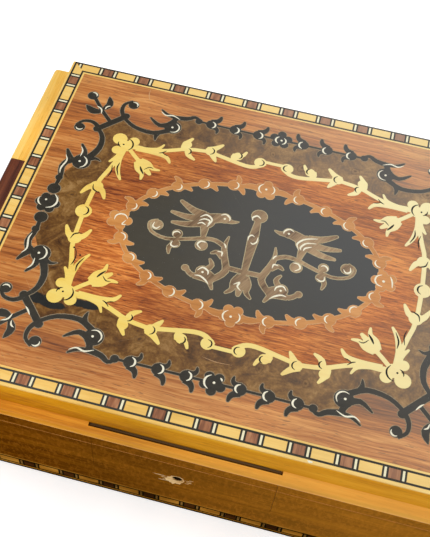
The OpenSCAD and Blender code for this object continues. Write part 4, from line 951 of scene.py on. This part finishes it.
def parting_line_wear_and_highlight():
    """A pale line along the lower arris of the lid's front veneer, and the same line scored on the
    shutter: partly rubbed wood, partly a painted highlight where the edge catches the light.
    """
    z = PARTING_Z / MM
    low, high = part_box("lid_veneer_front")
    ends = (low.x / MM, SHUTTER_LOW.x / MM, SHUTTER_HIGH.x / MM, high.x / MM)
    faces = (FRONT_FACE, SHUTTER_LOW.y, FRONT_FACE)
    pieces = ("parting_line_left", "parting_line_shutter", "parting_line_right")
    for name, x0, x1, y in zip(pieces, ends, ends[1:], faces):
        ink = Inlay(lambda a, b, h, y=y: Vector((a * MM, y - h * MM * 0.5, b * MM)))
        count = 24
        rings = []
        for k in range(count + 1):
            x = x0 + 0.2 + (x1 - x0 - 0.4) * k / count
            half = 0.22 + lean(0.05)
            rings.append(ink.section(Vector((x, z + 0.17)), Vector((0.0, 1.0)), half))
        for a, b in zip(rings, rings[1:]):
            ink.join(a, b)
        ink.mesh.faces.new(rings[0])
        ink.mesh.faces.new(rings[-1])
        ink.finish(name, WORN_EDGE_HIGHLIGHT, "shutter" if "shutter" in name else "lid", "walnut_veneer")


def chips():
    """A pale chip in the front stringing, and two hair cracks: one at the back left, one nearer the
    front.
    """
    ink = Inlay(plan)
    ink.line([(46.0, -97.2), (47.0, -97.6), (48.2, -97.4)], 1.0)
    ink.finish("stringing_chip", CREAM, "lid", "holly")
    ink = Inlay(plan)
    ink.line([(-74.6, 88.6), (-74.2, 84.0), (-72.6, 80.2)], 0.35)
    ink.line([(-7.6, -62.0), (-1.0, -63.0), (6.0, -62.6)], 0.22)
    ink.finish("hair_cracks", WARM_LINE, "lid", "cherry_field")


# --------------------------------------------------------------- the rest

def felt_pad():
    """The felt under the box, with soft rounded edges and a slightly uneven nap."""
    low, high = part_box("base_felt")
    mesh = bmesh.new()
    cells = 36
    edge = 0.5 * MM
    grid_x = [low.x + (high.x - low.x) * k / cells for k in range(cells + 1)]
    grid_y = [low.y + (high.y - low.y) * k / cells for k in range(cells + 1)]
    top_z = low.z + 0.8 * MM

    def sheet_layer(z, inset, ripple):
        rows = []
        for i, x in enumerate(grid_x):
            row = []
            for j, y in enumerate(grid_y):
                rim = i in (0, cells) or j in (0, cells)
                px = min(max(x, low.x + inset), high.x - inset) if rim else x
                py = min(max(y, low.y + inset), high.y - inset) if rim else y
                row.append(mesh.verts.new((px, py, z + (0.0 if rim else ripple * rng.random()))))
            rows.append(row)
        return rows

    under = sheet_layer(low.z, edge, 0.10 * MM)
    over = sheet_layer(top_z, edge, 0.0)
    for layer in (under, over):
        for i in range(cells):
            for j in range(cells):
                mesh.faces.new((layer[i][j], layer[i + 1][j], layer[i + 1][j + 1], layer[i][j + 1]))
    ring = ([(i, 0) for i in range(cells)] + [(cells, j) for j in range(cells)]
            + [(i, cells) for i in range(cells, 0, -1)] + [(0, j) for j in range(cells, 0, -1)])
    middle_z = (low.z + top_z) / 2
    belt = []
    for i, j in ring:
        belt.append(mesh.verts.new((grid_x[i], grid_y[j], middle_z)))
    for k in range(len(ring)):
        j = (k + 1) % len(ring)
        u0, u1 = under[ring[k][0]][ring[k][1]], under[ring[j][0]][ring[j][1]]
        o0, o1 = over[ring[k][0]][ring[k][1]], over[ring[j][0]][ring[j][1]]
        mesh.faces.new((u0, u1, belt[j], belt[k]))
        mesh.faces.new((belt[k], belt[j], o1, o0))
    pad = closed(mesh, "felt_pad", MATERIALS["base_felt"])
    for face in pad.data.polygons:
        face.use_smooth = True
    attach(pad, "box")
    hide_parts("base_felt")


def make_stage():
    """A plain pale floor and soft studio light."""
    s = Shader("floor")
    grit = s.noise(s.place, 30.0, 3.0)
    pale = s.ramp(grit, [(0.3, (0.92, 0.92, 0.92, 1.0)), (0.7, (0.95, 0.95, 0.95, 1.0))])
    s.set("Base Color", pale)
    s.set("Emission Color", pale)
    s.set("Emission Strength", FLOOR_GLOW)
    s.set("Roughness", 0.9)
    s.set("Specular IOR Level", 0.1)
    size = 8.0
    data = bpy.data.meshes.new("floor")
    corners = [(-size, -size, 0.0), (size, -size, 0.0), (size, size, 0.0), (-size, size, 0.0)]
    data.from_pydata(corners, [], [(0, 1, 2, 3)])
    data.materials.append(s.material)
    floor = add("floor", data)
    floor.location.z = CAD_LOW.z - 0.02 * MM

    world = bpy.data.worlds.new("studio")
    world.use_nodes = True
    background = world.node_tree.nodes["Background"]
    background.inputs["Color"].default_value = (1.0, 1.0, 1.0, 1.0)
    background.inputs["Strength"].default_value = WORLD_STRENGTH
    bpy.context.scene.world = world
    for name, power, size, azimuth, elevation, distance in SOFT_BOXES:
        spot = towards(math.radians(azimuth), math.radians(elevation)) * distance
        light = bpy.data.lights.new(name, "AREA")
        light.energy, light.shape, light.size = power, "SQUARE", size
        lamp = add(name, light)
        lamp.location = spot
        lamp.rotation_mode = "QUATERNION"
        lamp.rotation_quaternion = (-spot).to_track_quat("-Z", "Y")
    bpy.context.scene.view_settings.view_transform = "Standard"


WORLD_STRENGTH = 0.16
FLOOR_GLOW = 0.48      # the floor is a lit table, so the box throws hardly any shadow on it
# name, watts, side in metres, azimuth, elevation and distance from the box
SOFT_BOXES = (
    ("window", 16.0, 1.8, 155.0, 40.0, 2.2),
    ("overhead", 37.6, 1.8, 290.0, 62.0, 2.2),
)

make_camera()
dress_nodes()
scroll_marks()
garland_marks()
wreath_marks()
ornament_marks()
outline("medallion_ornament", "ornament_outline", 0.2, PALE_LINE, "olive_wood")
outline("wreath", "wreath_outline", 0.17, WARM_LINE, "pearwood", 0.01)
outline("scroll_ebony", "scroll_outline", 0.19, GREY_LINE, "ebony", 0.015)
splintered_hole()
parting_line_wear_and_highlight()
chips()
felt_pad()
make_stage()
